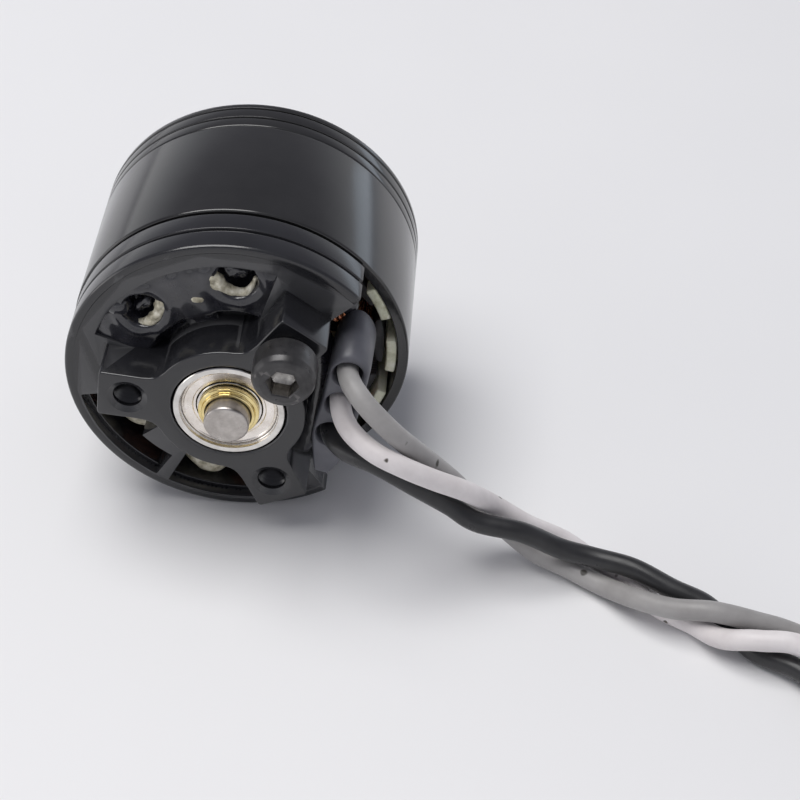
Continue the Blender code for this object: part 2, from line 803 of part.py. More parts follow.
def build_stator(parts, helpers, materials, stator_frame):
    bore = arc(STATOR_BORE, 0.0, 352.5, 47)
    core = plate("stator_core", [stator_outline(), bore], *STACK, parts)
    finish(core, materials["laminations"], stator_frame)
    collar = arc(STATOR_BORE + 0.3 * MM, 0.0, 345.0, 23)
    low = STACK[0] - FINE_GAP - INSULATOR_THICKNESS
    front = plate("front_insulator", [insulator_outline(), collar], low, low + INSULATOR_THICKNESS, parts)
    finish(front, materials["insulator"], stator_frame)
    low = STACK[1] + FINE_GAP
    rear = plate("rear_insulator", [insulator_outline(), collar], low, low + INSULATOR_THICKNESS, parts)
    finish(rear, materials["insulator"], stator_frame)
    winding = coil_mesh(helpers)
    for tooth in range(TEETH):
        coil = add_object("winding_%02d" % (tooth + 1), winding, parts)
        finish(coil, materials["copper"], stator_frame)
        coil.rotation_euler = (0.0, 0.0, 2 * math.pi * tooth / TEETH)


def build_rotor(parts, helpers, materials, rotor_frame):
    finish(flux_ring(parts), materials["bell"], rotor_frame)
    finish(bell_cap(parts, helpers), materials["bell_cap"], rotor_frame)
    finish(shaft(parts), materials["shaft"], rotor_frame)
    finish(brass_collar(parts), materials["brass"], rotor_frame)
    magnet = plate("magnet", [magnet_outline()], *MAGNET_Z, helpers)
    for pole in range(POLES):
        piece = add_object("magnet_%02d" % (pole + 1), magnet.data, parts)
        finish(piece, materials["magnet"], rotor_frame)
        piece.rotation_euler = (0.0, 0.0, -math.radians(FIRST_MAGNET + 360.0 * pole / POLES))
    bpy.data.objects.remove(magnet, do_unlink=True)


def make_materials():
    return {
        "base": principled("base", (0.02, 0.02, 0.024), 0.32, 0.6),
        "bell": principled("bell", (0.012, 0.012, 0.014), 0.18, 0.6),
        "bell_cap": principled("bell_cap", (0.012, 0.012, 0.014), 0.18, 0.6),
        "guide": principled("guide", (0.05, 0.053, 0.06), 0.45, 0.0),
        "screw": principled("screw", (0.015, 0.015, 0.016), 0.35, 0.7),
        "bearing_steel": principled("bearing_steel", (0.72, 0.71, 0.69), 0.2, 1.0),
        "bearing_shield": principled("bearing_shield", (0.8, 0.78, 0.75), 0.3, 1.0),
        "shaft": principled("shaft", (0.62, 0.6, 0.58), 0.3, 1.0),
        "brass": principled("brass", (0.8, 0.66, 0.3), 0.22, 1.0),
        "laminations": principled("laminations", (0.08, 0.08, 0.085), 0.5, 0.5),
        "insulator": principled("insulator", (0.75, 0.72, 0.6), 0.5, 0.0),
        "copper": principled("copper", (0.45, 0.16, 0.07), 0.3, 0.8),
        "magnet": principled("magnet", (0.75, 0.74, 0.66), 0.35, 0.8),
        "lead_grey": principled("lead_grey", (0.27, 0.26, 0.25), 0.45, 0.0),
        "lead_white": principled("lead_white", (0.8, 0.78, 0.77), 0.4, 0.0),
        "lead_black": principled("lead_black", (0.02, 0.02, 0.022), 0.4, 0.0),
        "tinned_end": principled("tinned_end", (0.7, 0.7, 0.7), 0.3, 1.0),
    }


def main():
    clear_scene()
    parts = collection("outrunner_motor")
    helpers = collection("cutters")
    materials = make_materials()
    stator_frame = empty("motor_frame", parts)
    rotor_frame = empty("bell_spin_axis", parts, stator_frame)
    finish(base_mount(parts, helpers), materials["base"], stator_frame)
    finish(mounting_screw(parts, helpers), materials["screw"], stator_frame)
    finish(wire_guide(parts, helpers), materials["guide"], stator_frame)
    build_bearings(parts, materials, stator_frame, rotor_frame)
    build_stator(parts, helpers, materials, stator_frame)
    build_rotor(parts, helpers, materials, rotor_frame)
    build_leads(parts, materials)
    stator_frame.rotation_euler = (-math.pi / 2, 0.0, 0.0)
    stator_frame.location = (0.0, -MIDDLE_Z, BELL_RADIUS)
    bpy.context.view_layer.update()


main()
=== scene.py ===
"""Brushless outrunner motor: the visual model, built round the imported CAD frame."""

import json
import math
import random

import bmesh
import bpy
from mathutils import Matrix, Vector


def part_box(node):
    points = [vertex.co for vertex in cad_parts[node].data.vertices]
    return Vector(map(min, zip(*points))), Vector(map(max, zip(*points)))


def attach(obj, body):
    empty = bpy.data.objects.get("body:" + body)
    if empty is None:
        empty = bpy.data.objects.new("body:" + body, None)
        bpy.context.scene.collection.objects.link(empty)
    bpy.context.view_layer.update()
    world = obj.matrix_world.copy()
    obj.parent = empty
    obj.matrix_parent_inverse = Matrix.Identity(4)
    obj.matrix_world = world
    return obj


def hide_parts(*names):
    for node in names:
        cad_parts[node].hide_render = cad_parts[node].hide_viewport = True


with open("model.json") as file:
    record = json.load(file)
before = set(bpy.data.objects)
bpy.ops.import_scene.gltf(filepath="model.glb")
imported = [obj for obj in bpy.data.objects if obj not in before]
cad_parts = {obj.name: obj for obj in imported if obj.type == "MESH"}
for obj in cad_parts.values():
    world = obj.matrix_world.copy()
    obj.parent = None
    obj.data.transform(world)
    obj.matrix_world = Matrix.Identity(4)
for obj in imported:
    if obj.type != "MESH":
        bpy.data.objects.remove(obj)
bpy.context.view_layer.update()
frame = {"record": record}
MM = 0.001

# ---------------------------------------------------------------- the motor's own frame
# Shapes are made in millimetres round the shaft axis: z = 0 is the plane of the arms' end faces and
# +z runs through the motor to the propeller side. Angles are read by someone looking at that face,
# anticlockwise from the side where the leads come out.

FACE_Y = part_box("base_mount")[0].y
AXIS_Z = frame["record"]["behaviour"]["joints"][0]["pos_m"][2]
TO_WORLD = (
    Matrix.Translation((0.0, FACE_Y, AXIS_Z))
    @ Matrix.Rotation(-math.pi / 2, 4, "X")
    @ Matrix.Scale(MM, 4)
)

BELL_R = 15.4
LIP_Z = 8.9
BELL_TOP_Z = 25.9
JOINT_Z = 22.1
FLUX_INNER = 14.4
SHAFT_R = 2.0
ARM_ANGLES = (52.0, 172.0, 292.0)
ARM_HALF = 2.45
ARM_END = 11.6
HOLE_CIRCLE = 9.0
THREAD_R = 1.5
TAPPED_R = 1.3
HUB_R = 6.8
UPPER_WINDOW_R = 13.1
FLOOR_Z = 3.8
FLOOR_BACK_Z = 6.2
RING_R = 15.3
RING_STEP = 14.5
RING_INNER = 13.9
RING_BACK_Z = 8.55
RING_FROM = 41.0
RING_TO = 301.0
WINDOW_INNER = 7.9
LEDGE_R = 11.3
TUBE_R = 6.1
BEARING_R = 5.0
BEARING_WIDTH = 4.0
FRONT_BEARING_Z = 0.05
REAR_BEARING_Z = 15.2
HEAD_TOP_Z = -4.2
HEAD_BACK_Z = -1.2
HEAD_R = 2.75
SCREW_TIP_Z = 6.8
HEX_ACROSS = 2.5
TEETH = 12
STACK = (10.5, 20.5)
POLES = 14
MAGNET_ARC = 15.0
FIRST_MAGNET = -3.0
MAGNET_RADII = (13.35, 14.3)
MAGNET_Z = (9.1, 21.6)
SEAT_R = 7.6
SEAT_Z = 27.2
SHAFT_Z = (-1.85, 30.0)
GUIDE_HOLES = ((10.5, 3.5), (9.75, 0.0), (8.8, -3.6))
GUIDE_FOOT = (8.3, -6.6)
GUIDE_TOE = (7.8, -8.3)
LEAD_D = 1.9 * MM


def polar(radius, degrees):
    return radius * math.cos(math.radians(degrees)), -radius * math.sin(math.radians(degrees))


def arc(radius, start, end, steps):
    return [polar(radius, start + (end - start) * i / steps) for i in range(steps + 1)]


def turn(points, degrees):
    cos = math.cos(math.radians(degrees))
    sin = math.sin(math.radians(degrees))
    return [(x * cos + y * sin, y * cos - x * sin) for x, y in points]


# ---------------------------------------------------------------- mesh tools


def link(name, mesh):
    obj = bpy.data.objects.new(name, mesh)
    bpy.context.scene.collection.objects.link(obj)
    return obj


def from_bmesh(name, shape, flip=True):
    if flip:
        bmesh.ops.recalc_face_normals(shape, faces=shape.faces)
    mesh = bpy.data.meshes.new(name)
    shape.to_mesh(mesh)
    shape.free()
    return link(name, mesh)


def ring_about(shape, centre, side, up, radius, sides):
    """A ring of vertices round a centre."""
    angles = [math.tau * k / sides for k in range(sides)]
    return [shape.verts.new(centre + (side * math.cos(a) + up * math.sin(a)) * radius) for a in angles]


def skin(shape, rings, loop=False):
    """Faces from each ring of vertices to the next, and from the last to the first in a loop."""
    count = len(rings[0])
    for low, high in zip(rings, rings[1:] + (rings[:1] if loop else [])):
        for i in range(count):
            j = (i + 1) % count
            shape.faces.new((low[i], low[j], high[j], high[i]))
    if not loop:
        shape.faces.new(rings[0])
        shape.faces.new(rings[-1])


def settle(obj):
    """Makes the object's modifiers part of its mesh."""
    bpy.context.view_layer.update()
    graph = bpy.context.evaluated_depsgraph_get()
    mesh = bpy.data.meshes.new_from_object(obj.evaluated_get(graph))
    old = obj.data
    obj.modifiers.clear()
    obj.data = mesh
    bpy.data.meshes.remove(old)
    return obj


def shade(obj, degrees=32.0):
    obj.data.shade_smooth()
    obj.data.set_sharp_from_angle(angle=math.radians(degrees))
    return obj


def eased(profile, radius=0.12, steps=3, closed=True):
    """The profile with its corners rounded. A third number in a point is that corner's own radius."""
    out = []
    count = len(profile)
    for i, point in enumerate(profile):
        here = Vector(point[:2])
        own = point[2] if len(point) > 2 else radius
        if not closed and i in (0, count - 1):
            out.append(tuple(here))
            continue
        before = Vector(profile[i - 1][:2]) - here
        after = Vector(profile[(i + 1) % count][:2]) - here
        turn_by = before.angle(-after, 0.0)
        cut = min(own * math.tan(turn_by / 2), before.length * 0.45, after.length * 0.45)
        if turn_by < math.radians(12) or cut < 0.004:
            out.append(tuple(here))
            continue
        a = here + before.normalized() * cut
        b = here + after.normalized() * cut
        for step in range(steps + 1):
            t = step / steps
            spot = a * (1 - t) ** 2 + here * 2 * t * (1 - t) + b * t**2
            out.append(tuple(spot))
    return out


def lathe(name, profile, segments=160, start=0.0, end=360.0):
    """A turned solid, or a sector of one with flat ends, from a closed profile of (radius, z)."""
    whole = abs(end - start - 360.0) < 0.001
    shape = bmesh.new()
    rings = []
    count = segments if whole else segments + 1
    axis = {}
    for i in range(count):
        degrees = start + (end - start) * i / segments
        ring = []
        for index, (radius, z) in enumerate(profile):
            if radius < 1e-6:
                if index not in axis:
                    axis[index] = shape.verts.new((0.0, 0.0, z))
                ring.append(axis[index])
            else:
                x, y = polar(radius, degrees)
                ring.append(shape.verts.new((x, y, z)))
        rings.append(ring)
    size = len(profile)
    for low, high in zip(rings, rings[1:] + (rings[:1] if whole else [])):
        for i in range(size):
            j = (i + 1) % size
            corners = []
            for vert in (low[i], low[j], high[j], high[i]):
                if vert not in corners:
                    corners.append(vert)
            if len(corners) > 2:
                shape.faces.new(corners)
    if not whole:
        shape.faces.new(rings[0])
        shape.faces.new(rings[-1])
    return from_bmesh(name, shape)


def prism(name, outlines, low, high):
    """A flat piece between two heights. Outlines after the first are holes."""
    curve = bpy.data.curves.new(name, "CURVE")
    curve.dimensions = "2D"
    curve.fill_mode = "BOTH"
    curve.extrude = (high - low) / 2
    for outline in outlines:
        spline = curve.splines.new("POLY")
        spline.points.add(len(outline) - 1)
        for point, (x, y) in zip(spline.points, outline):
            point.co = (x, y, 0.0, 1.0)
        spline.use_cyclic_u = True
    guide = link(name + "_outline", curve)
    bpy.context.view_layer.update()
    graph = bpy.context.evaluated_depsgraph_get()
    mesh = bpy.data.meshes.new_from_object(guide.evaluated_get(graph))
    bpy.data.objects.remove(guide, do_unlink=True)
    bpy.data.curves.remove(curve)
    shape = bmesh.new()
    shape.from_mesh(mesh)
    bpy.data.meshes.remove(mesh)
    bmesh.ops.remove_doubles(shape, verts=shape.verts, dist=0.001)
    flat = [face for face in shape.faces if abs(face.normal.z) > 0.9]
    if len(outlines) == 1:
        bmesh.ops.dissolve_faces(shape, faces=flat)
    bmesh.ops.translate(shape, verts=shape.verts, vec=(0.0, 0.0, (low + high) / 2))
    return from_bmesh(name, shape)


def cut(obj, others, operation="DIFFERENCE"):
    for other in others:
        boolean = obj.modifiers.new(operation.title(), "BOOLEAN")
        boolean.operation = operation
        boolean.solver = "EXACT"
        boolean.object = other
    settle(obj)
    for other in others:
        bpy.data.objects.remove(other, do_unlink=True)
    return obj


def bevel(obj, width, segments=2, degrees=32.0):
    edge = obj.modifiers.new("Bevel", "BEVEL")
    edge.width = width
    edge.segments = segments
    edge.limit_method = "ANGLE"
    edge.angle_limit = math.radians(degrees)
    edge.miter_outer = "MITER_ARC"
    edge.use_clamp_overlap = True
    return settle(obj)


def done(obj, material, body, replaces=(), smooth=32.0):
    """Puts a finished piece in the world: material, shading, body and the CAD nodes it stands for."""
    obj.data.transform(TO_WORLD)
    obj.data.materials.clear()
    obj.data.materials.append(material)
    shade(obj, smooth)
    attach(obj, body)
    if replaces:
        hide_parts(*replaces)
    return obj


# ---------------------------------------------------------------- materials


def fill_ramp(ramp, stops):
    """Gives a colour ramp its stops. A stop's colour is a triple or one grey value."""
    while len(ramp.elements) < len(stops):
        ramp.elements.new(0.5)
    for element, (place, colour) in zip(ramp.elements, stops):
        element.position = place
        element.color = (*colour, 1.0) if isinstance(colour, tuple) else (colour,) * 3 + (1.0,)


class Shader:
    """A Principled material with a few node helpers. Coordinates are the object's, in metres."""

    def __init__(self, name, colour, roughness, metallic=0.0, **sockets):
        self.material = bpy.data.materials.new(name)
        self.material.use_nodes = True
        self.nodes = self.material.node_tree.nodes
        self.links = self.material.node_tree.links
        self.main = self.nodes["Principled BSDF"]
        self.main.inputs["Base Color"].default_value = (*colour, 1.0)
        self.main.inputs["Roughness"].default_value = roughness
        self.main.inputs["Metallic"].default_value = metallic
        for key, value in sockets.items():
            self.main.inputs[key.replace("_", " ")].default_value = value
        self.coords = self.nodes.new("ShaderNodeTexCoord").outputs["Object"]

    def feed(self, socket, value):
        """Links another node's output to the socket, or sets a plain value on it."""
        if hasattr(value, "is_linked"):
            self.links.new(value, socket)
        else:
            socket.default_value = value

    def node(self, kind, **inputs):
        made = self.nodes.new(kind)
        for key, value in inputs.items():
            self.feed(made.inputs[key.replace("_", " ")], value)
        return made

    def scaled(self, scale):
        made = self.node("ShaderNodeMapping", Vector=self.coords, Scale=scale)
        return made.outputs["Vector"]

    def noise(self, scale, detail=3.0, rough=0.5, stretch=None):
        where = self.scaled(stretch) if stretch else self.coords
        made = self.node("ShaderNodeTexNoise", Vector=where, Scale=scale, Detail=detail, Roughness=rough)
        return made.outputs["Fac"]

    def ramp(self, value, stops, smooth=False):
        made = self.nodes.new("ShaderNodeValToRGB")
        made.color_ramp.interpolation = "EASE" if smooth else "LINEAR"
        fill_ramp(made.color_ramp, stops)
        self.links.new(value, made.inputs["Fac"])
        return made.outputs["Color"]

    def mix(self, share, a, b, kind="MIX"):
        made = self.nodes.new("ShaderNodeMix")
        made.data_type = "RGBA"
        made.blend_type = kind
        for key, value in ((0, share), (6, a), (7, b)):
            self.feed(made.inputs[key], (*value, 1.0) if isinstance(value, tuple) else value)
        return made.outputs[2]

    def add(self, a, b, kind="ADD"):
        made = self.nodes.new("ShaderNodeMath")
        made.operation = kind
        self.feed(made.inputs[0], a)
        self.feed(made.inputs[1], b)
        return made.outputs["Value"]

    def set(self, socket, value):
        self.links.new(value, self.main.inputs[socket])
        return self

    def uneven_gloss(self, scale, low, high, detail=3.0):
        """Roughness that wanders between two values."""
        self.set("Roughness", self.ramp(self.noise(scale, detail), [(0.3, low), (0.75, high)]))

    def bump(self, height, distance, strength=1.0, below=None):
        made = self.node("ShaderNodeBump", Height=height, Strength=strength, Distance=distance)
        if below:
            self.links.new(below, made.inputs["Normal"])
        self.links.new(made.outputs["Normal"], self.main.inputs["Normal"])
        return made.outputs["Normal"]

    def axis_rings(self, scale, detail=2.0):
        """Noise that only changes along the shaft: the marks of a lathe tool on a turned side."""
        return self.noise(scale, detail, 0.6, stretch=(0.02, 1.0, 0.02))

    def edges(self, low=0.5, high=0.56):
        """A painted highlight: bright where the surface turns a convex corner."""
        made = self.nodes.new("ShaderNodeNewGeometry")
        return self.ramp(made.outputs["Pointiness"], [(low, 0.0), (high, 1.0)])


def black_anodised(name, tone, roughness, turned, tint=(0.94, 0.95, 1.12)):
    """Black anodised aluminium: near-black dye, soft gloss, fine grain, dust, and a painted highlight that
    lightens convex corners.
    """
    s = Shader(name, (tone,) * 3, roughness, 0.0, IOR=1.62)
    dark = tuple(tone * 0.75 * part for part in tint)
    light = tuple(tone * 1.25 * part for part in tint)
    dye = s.ramp(s.noise(180.0, 4.0, 0.6), [(0.3, dark), (0.75, light)])
    dust = s.ramp(s.noise(2600.0, 2.0, 0.5), [(0.72, 0.0), (0.82, 0.8)])
    patch = s.ramp(s.noise(120.0, 2.0), [(0.5, 0.0), (0.75, 0.3)])
    dusty = s.mix(s.add(dust, patch, "MULTIPLY"), dye, (0.12, 0.115, 0.11))
    # Convex corners are painted lighter over the dusty dye: a painted highlight.
    dust_and_edge_highlight = s.mix(s.add(s.edges(0.53, 0.62), 0.3, "MULTIPLY"), dusty, (0.12, 0.12, 0.125))
    s.set("Base Color", dust_and_edge_highlight)
    smear = s.noise(90.0, 3.0, 0.55)
    fine = s.noise(1500.0, 3.0, 0.6)
    low = s.add(s.add(smear, 0.1, "MULTIPLY"), roughness - 0.06)
    s.set("Roughness", s.add(low, s.add(fine, 0.05, "MULTIPLY")))
    grain = s.bump(s.noise(3500.0, 2.0, 0.6), 0.000004, 0.5)
    if turned:
        s.bump(s.axis_rings(5200.0), 0.000006, 0.35, below=grain)
    return s.material


def moulded_plastic(name):
    s = Shader(name, (0.1, 0.1, 0.115), 0.42, 0.0, IOR=1.5)
    cloud = s.noise(260.0, 4.0, 0.6)
    base = s.ramp(cloud, [(0.3, (0.075, 0.076, 0.09)), (0.75, (0.115, 0.117, 0.135))])
    # Convex corners painted a lighter grey: a painted highlight.
    s.set("Base Color", s.mix(s.add(s.edges(0.52, 0.62), 0.4, "MULTIPLY"), base, (0.2, 0.2, 0.22)))
    s.uneven_gloss(700.0, 0.34, 0.52)
    s.bump(s.noise(2600.0, 3.0, 0.6), 0.000012, 0.6)
    return s.material


def black_oxide(name):
    s = Shader(name, (0.05, 0.05, 0.052), 0.34, 0.55)
    base = s.ramp(s.noise(420.0, 4.0, 0.65), [(0.3, (0.032, 0.031, 0.032)), (0.75, (0.085, 0.083, 0.084))])
    # Convex corners painted a lighter grey: a painted highlight.
    s.set("Base Color", s.mix(s.add(s.edges(0.53, 0.66), 0.5, "MULTIPLY"), base, (0.2, 0.19, 0.185)))
    s.uneven_gloss(1300.0, 0.26, 0.44)
    s.bump(s.noise(4200.0, 2.0, 0.6), 0.000005, 0.6)
    return s.material


def metal(name, dark, light, roughness, scale=600.0, turned=True, scratch=0.35):
    """Bare metal with turning marks, fine scratches and a slightly uneven polish."""
    s = Shader(name, light, roughness, 1.0)
    cloud = s.noise(scale, 4.0, 0.6)
    s.set("Base Color", s.ramp(cloud, [(0.25, dark), (0.7, light)]))
    streak = s.noise(900.0, 3.0, 0.6, stretch=(1.0, 0.12, 1.0))
    s.set("Roughness", s.ramp(streak, [(0.3, roughness * 0.7), (0.75, min(1.0, roughness * 1.5))]))
    first = s.bump(s.noise(5200.0, 2.0, 0.6), 0.000002, scratch)
    if turned:
        s.bump(s.axis_rings(7000.0), 0.000002, scratch, below=first)
    return s.material


def laminated_steel(name):
    s = Shader(name, (0.1, 0.1, 0.105), 0.5, 0.4)
    wave = s.node("ShaderNodeTexWave", Vector=s.coords, Scale=900.0, Distortion=0.6)
    wave.bands_direction = "Y"
    base = s.ramp(s.noise(500.0, 3.0), [(0.3, (0.05, 0.05, 0.055)), (0.75, (0.14, 0.14, 0.145))])
    s.set("Base Color", s.mix(0.35, base, wave.outputs["Color"], "MULTIPLY"))
    s.bump(wave.outputs["Fac"], 0.00004, 0.8)
    return s.material


def enamelled_copper(name):
    s = Shader(name, (0.5, 0.17, 0.07), 0.26, 0.85, Coat_Weight=0.5, Coat_Roughness=0.12)
    base = s.ramp(s.noise(480.0, 3.0, 0.6), [(0.3, (0.3, 0.085, 0.035)), (0.7, (0.62, 0.25, 0.11))])
    s.set("Base Color", base)
    s.uneven_gloss(1600.0, 0.18, 0.36)
    s.bump(s.noise(2200.0, 2.0), 0.00001, 0.5)
    return s.material


def nickel_magnet(name):
    s = Shader(name, (0.8, 0.79, 0.66), 0.42, 0.1)
    base = s.ramp(
        s.noise(620.0, 4.0, 0.65),
        [(0.28, (0.5, 0.5, 0.33)), (0.48, (0.78, 0.78, 0.6)), (0.72, (0.95, 0.94, 0.83))],
    )
    s.set("Base Color", base)
    s.uneven_gloss(1500.0, 0.3, 0.6)
    s.bump(s.noise(1900.0, 4.0, 0.7), 0.00002, 0.6)
    return s.material


def insulator_film(name):
    s = Shader(name, (0.62, 0.58, 0.42), 0.45)
    base = s.ramp(s.noise(400.0, 3.0), [(0.3, (0.5, 0.46, 0.31)), (0.75, (0.72, 0.68, 0.52))])
    s.set("Base Color", base)
    s.bump(s.noise(1500.0, 3.0), 0.00002, 0.6)
    return s.material


def silicone(name, dark, light, speck, roughness=0.46, specks=0.75):
    """Silicone wire insulation: a soft sheen, rubbed patches, and small specks of dirt."""
    s = Shader(name, light, roughness, 0.0, IOR=1.45, Sheen_Weight=0.12, Sheen_Roughness=0.4)
    base = s.ramp(s.noise(210.0, 4.0, 0.6), [(0.3, dark), (0.72, light)])
    dirt = s.ramp(s.noise(640.0, 1.0, 0.4), [(specks, 0.0), (specks + 0.03, 1.0)])
    s.set("Base Color", s.mix(dirt, base, speck))
    s.uneven_gloss(520.0, roughness - 0.1, roughness + 0.12)
    s.bump(s.noise(1700.0, 3.0, 0.6), 0.000018, 0.5)
    return s.material


def solder(name):
    s = Shader(name, (0.72, 0.71, 0.69), 0.28, 1.0)
    s.set("Base Color", s.ramp(s.noise(900.0, 3.0), [(0.3, (0.5, 0.49, 0.47)), (0.7, (0.82, 0.81, 0.79))]))
    s.uneven_gloss(1500.0, 0.2, 0.42)
    s.bump(s.noise(1800.0, 3.0), 0.00002, 0.6)
    return s.material


def cream_resin(name):
    s = Shader(name, (0.62, 0.58, 0.46), 0.38, 0.0, Coat_Weight=0.3, Coat_Roughness=0.15)
    base = s.ramp(
        s.noise(1100.0, 5.0, 0.7),
        [(0.32, (0.16, 0.14, 0.09)), (0.5, (0.52, 0.48, 0.36)), (0.7, (0.82, 0.79, 0.68))],
    )
    s.set("Base Color", base)
    s.bump(s.noise(1900.0, 4.0, 0.7), 0.00006, 0.8)
    return s.material


def dark_resin(name, roughness=0.14):
    s = Shader(name, (0.02, 0.02, 0.024), roughness, 0.0, Coat_Weight=0.6, Coat_Roughness=0.08)
    base = s.ramp(
        s.noise(800.0, 4.0, 0.65),
        [(0.3, (0.01, 0.01, 0.014)), (0.62, (0.022, 0.022, 0.028)), (0.85, (0.05, 0.046, 0.046))],
    )
    s.set("Base Color", base)
    s.uneven_gloss(700.0, roughness, roughness * 2.4, 4.0)
    s.bump(s.noise(900.0, 2.0, 0.5), 0.000012, 0.4)
    return s.material


def table_top(name):
    s = Shader(name, (0.8, 0.8, 0.81), 0.6)
    s.set("Base Color", s.ramp(s.noise(6.0, 3.0), [(0.3, (0.79, 0.79, 0.8)), (0.75, (0.83, 0.825, 0.83))]))
    s.uneven_gloss(40.0, 0.5, 0.65)
    return s.material


BASE = black_anodised("base_anodised", 0.013, 0.17, True)
BELL = black_anodised("bell_black", 0.014, 0.14, True, (1.0, 0.98, 1.0))
GUIDE = moulded_plastic("guide_plastic")
SCREW = black_oxide("screw_oxide")
SOCKET = metal("socket_steel", (0.2, 0.19, 0.18), (0.55, 0.53, 0.5), 0.3, 1500.0)
RING_STEEL = metal("bearing_steel", (0.55, 0.53, 0.5), (0.82, 0.8, 0.77), 0.16)
SHIELD = metal("bearing_shield", (0.7, 0.64, 0.57), (0.95, 0.9, 0.85), 0.24)
SHAFT = metal("shaft_steel", (0.34, 0.31, 0.29), (0.56, 0.53, 0.5), 0.36, 900.0)
BRASS = metal("brass", (0.62, 0.46, 0.16), (0.95, 0.82, 0.45), 0.12, 700.0)
CORE = laminated_steel("laminations")
COPPER = enamelled_copper("copper_wire")
MAGNET = nickel_magnet("magnet_nickel")
INSULATOR = insulator_film("slot_insulator")
GREY = silicone("lead_grey", (0.25, 0.24, 0.235), (0.36, 0.35, 0.345), (0.05, 0.045, 0.04))
WHITE = silicone("lead_white", (0.6, 0.56, 0.56), (0.78, 0.745, 0.745), (0.07, 0.06, 0.05))
BLACK = silicone("lead_black", (0.014, 0.014, 0.015), (0.03, 0.03, 0.032), (0.2, 0.19, 0.18), 0.36, 0.8)
TIN = solder("tinned_strands")
CREAM = cream_resin("cream_resin")
POTTING = dark_resin("potting_resin")
GLOSS = dark_resin("wet_resin", 0.05)

# ---------------------------------------------------------------- camera

CAMERA_AT = Vector((0.021935, -0.127186, 0.120324))
CAMERA_RIGHT = Vector((0.99824, 0.05930, 0.0))
CAMERA_UP = Vector((-0.03960, 0.66663, 0.74434))
LENS_MM = 79.6


def add_camera():
    data = bpy.data.cameras.new("camera")
    data.sensor_width = 36.0
    data.lens = LENS_MM
    data.clip_start = 0.001
    camera = bpy.data.objects.new("camera", data)
    bpy.context.scene.collection.objects.link(camera)
    back = CAMERA_RIGHT.cross(CAMERA_UP)
    turned = Matrix((CAMERA_RIGHT, CAMERA_UP, back)).transposed().to_4x4()
    camera.matrix_world = Matrix.Translation(CAMERA_AT) @ turned
    bpy.context.scene.camera = camera


# ---------------------------------------------------------------- leads
# Each route runs from inside the wire guide to the cut end of the insulation, in millimetres.

ROUTES = {
    "grey": [
        (10.5, -7.0, 18.9), (10.5, -11.2, 18.9), (11.7, -13.7, 18.5), (13.5, -15.1, 17.2),
        (15.4, -15.4, 15.2), (17.6, -14.3, 11.9), (20.1, -13.9, 8.8), (22.3, -13.6, 5.6),
        (24.9, -13.7, 3.0), (27.7, -15.0, 1.4), (30.7, -16.7, 1.3), (33.8, -18.6, 1.2),
        (36.9, -21.2, 2.4), (39.8, -22.6, 3.0), (43.2, -23.3, 3.6), (46.8, -23.6, 2.9),
        (50.5, -24.0, 1.9), (57.0, -27.1, 1.1), (63.0, -28.6, 1.0), (69.5, -29.8, 1.0),
        (76.0, -30.2, 1.0),
    ],
    "white": [
        (9.75, -7.0, 15.4), (9.75, -11.2, 15.4), (10.7, -14.0, 15.0), (12.9, -16.2, 14.5),
        (15.4, -17.1, 13.7), (18.3, -16.9, 12.0), (21.3, -16.2, 10.0), (23.9, -14.6, 6.7),
        (26.9, -14.4, 4.3), (30.2, -14.3, 2.4), (33.4, -15.8, 1.1), (36.3, -17.9, 1.1),
        (38.6, -20.6, 1.0), (41.5, -22.6, 1.2), (43.9, -24.9, 2.0), (46.9, -26.1, 3.3),
        (50.8, -26.7, 3.4), (57.4, -29.4, 1.5), (63.0, -31.4, 1.0), (69.5, -32.3, 1.0),
        (76.0, -32.6, 1.0),
    ],
    "black": [
        (8.8, -7.0, 11.8), (8.8, -11.0, 11.8), (10.3, -13.7, 12.1), (13.3, -15.5, 12.2),
        (16.5, -16.3, 10.7), (19.7, -16.2, 8.3), (22.2, -16.8, 6.9), (26.3, -17.0, 6.0),
        (29.9, -16.8, 3.9), (33.0, -17.1, 3.2), (36.4, -18.3, 3.3), (39.8, -20.0, 2.7),
        (42.8, -21.2, 2.1), (45.0, -23.1, 1.1), (47.1, -25.5, 1.0), (50.8, -27.9, 1.4),
        (56.9, -33.4, 1.0), (63.0, -34.4, 1.0), (69.5, -35.0, 1.0), (76.0, -35.2, 1.0),
    ],
}


def lead(colour, material):
    """A lead as one smooth curve, and its tinned strands."""
    knots = [Vector(point) * MM for point in ROUTES[colour]]
    curve = bpy.data.curves.new("wire_" + colour, "CURVE")
    curve.dimensions = "3D"
    curve.bevel_depth = LEAD_D / 2
    curve.bevel_resolution = 7
    curve.resolution_u = 10
    curve.use_fill_caps = True
    spline = curve.splines.new("BEZIER")
    spline.bezier_points.add(len(knots) - 1)
    for index, point in enumerate(spline.bezier_points):
        before = knots[max(index - 1, 0)]
        after = knots[min(index + 1, len(knots) - 1)]
        pull = (after - before) / 6
        point.co = knots[index]
        point.handle_left_type = point.handle_right_type = "FREE"
        point.handle_left = knots[index] - pull
        point.handle_right = knots[index] + pull
    wire = link("wire_" + colour, curve)
    curve.materials.append(material)
    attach(wire, "stator")
    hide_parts("lead_" + colour)
    tip = strands("strands_" + colour, knots[-1], (knots[-1] - knots[-2]).normalized())
    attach(tip, "stator")
    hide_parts("tinned_end_" + colour)


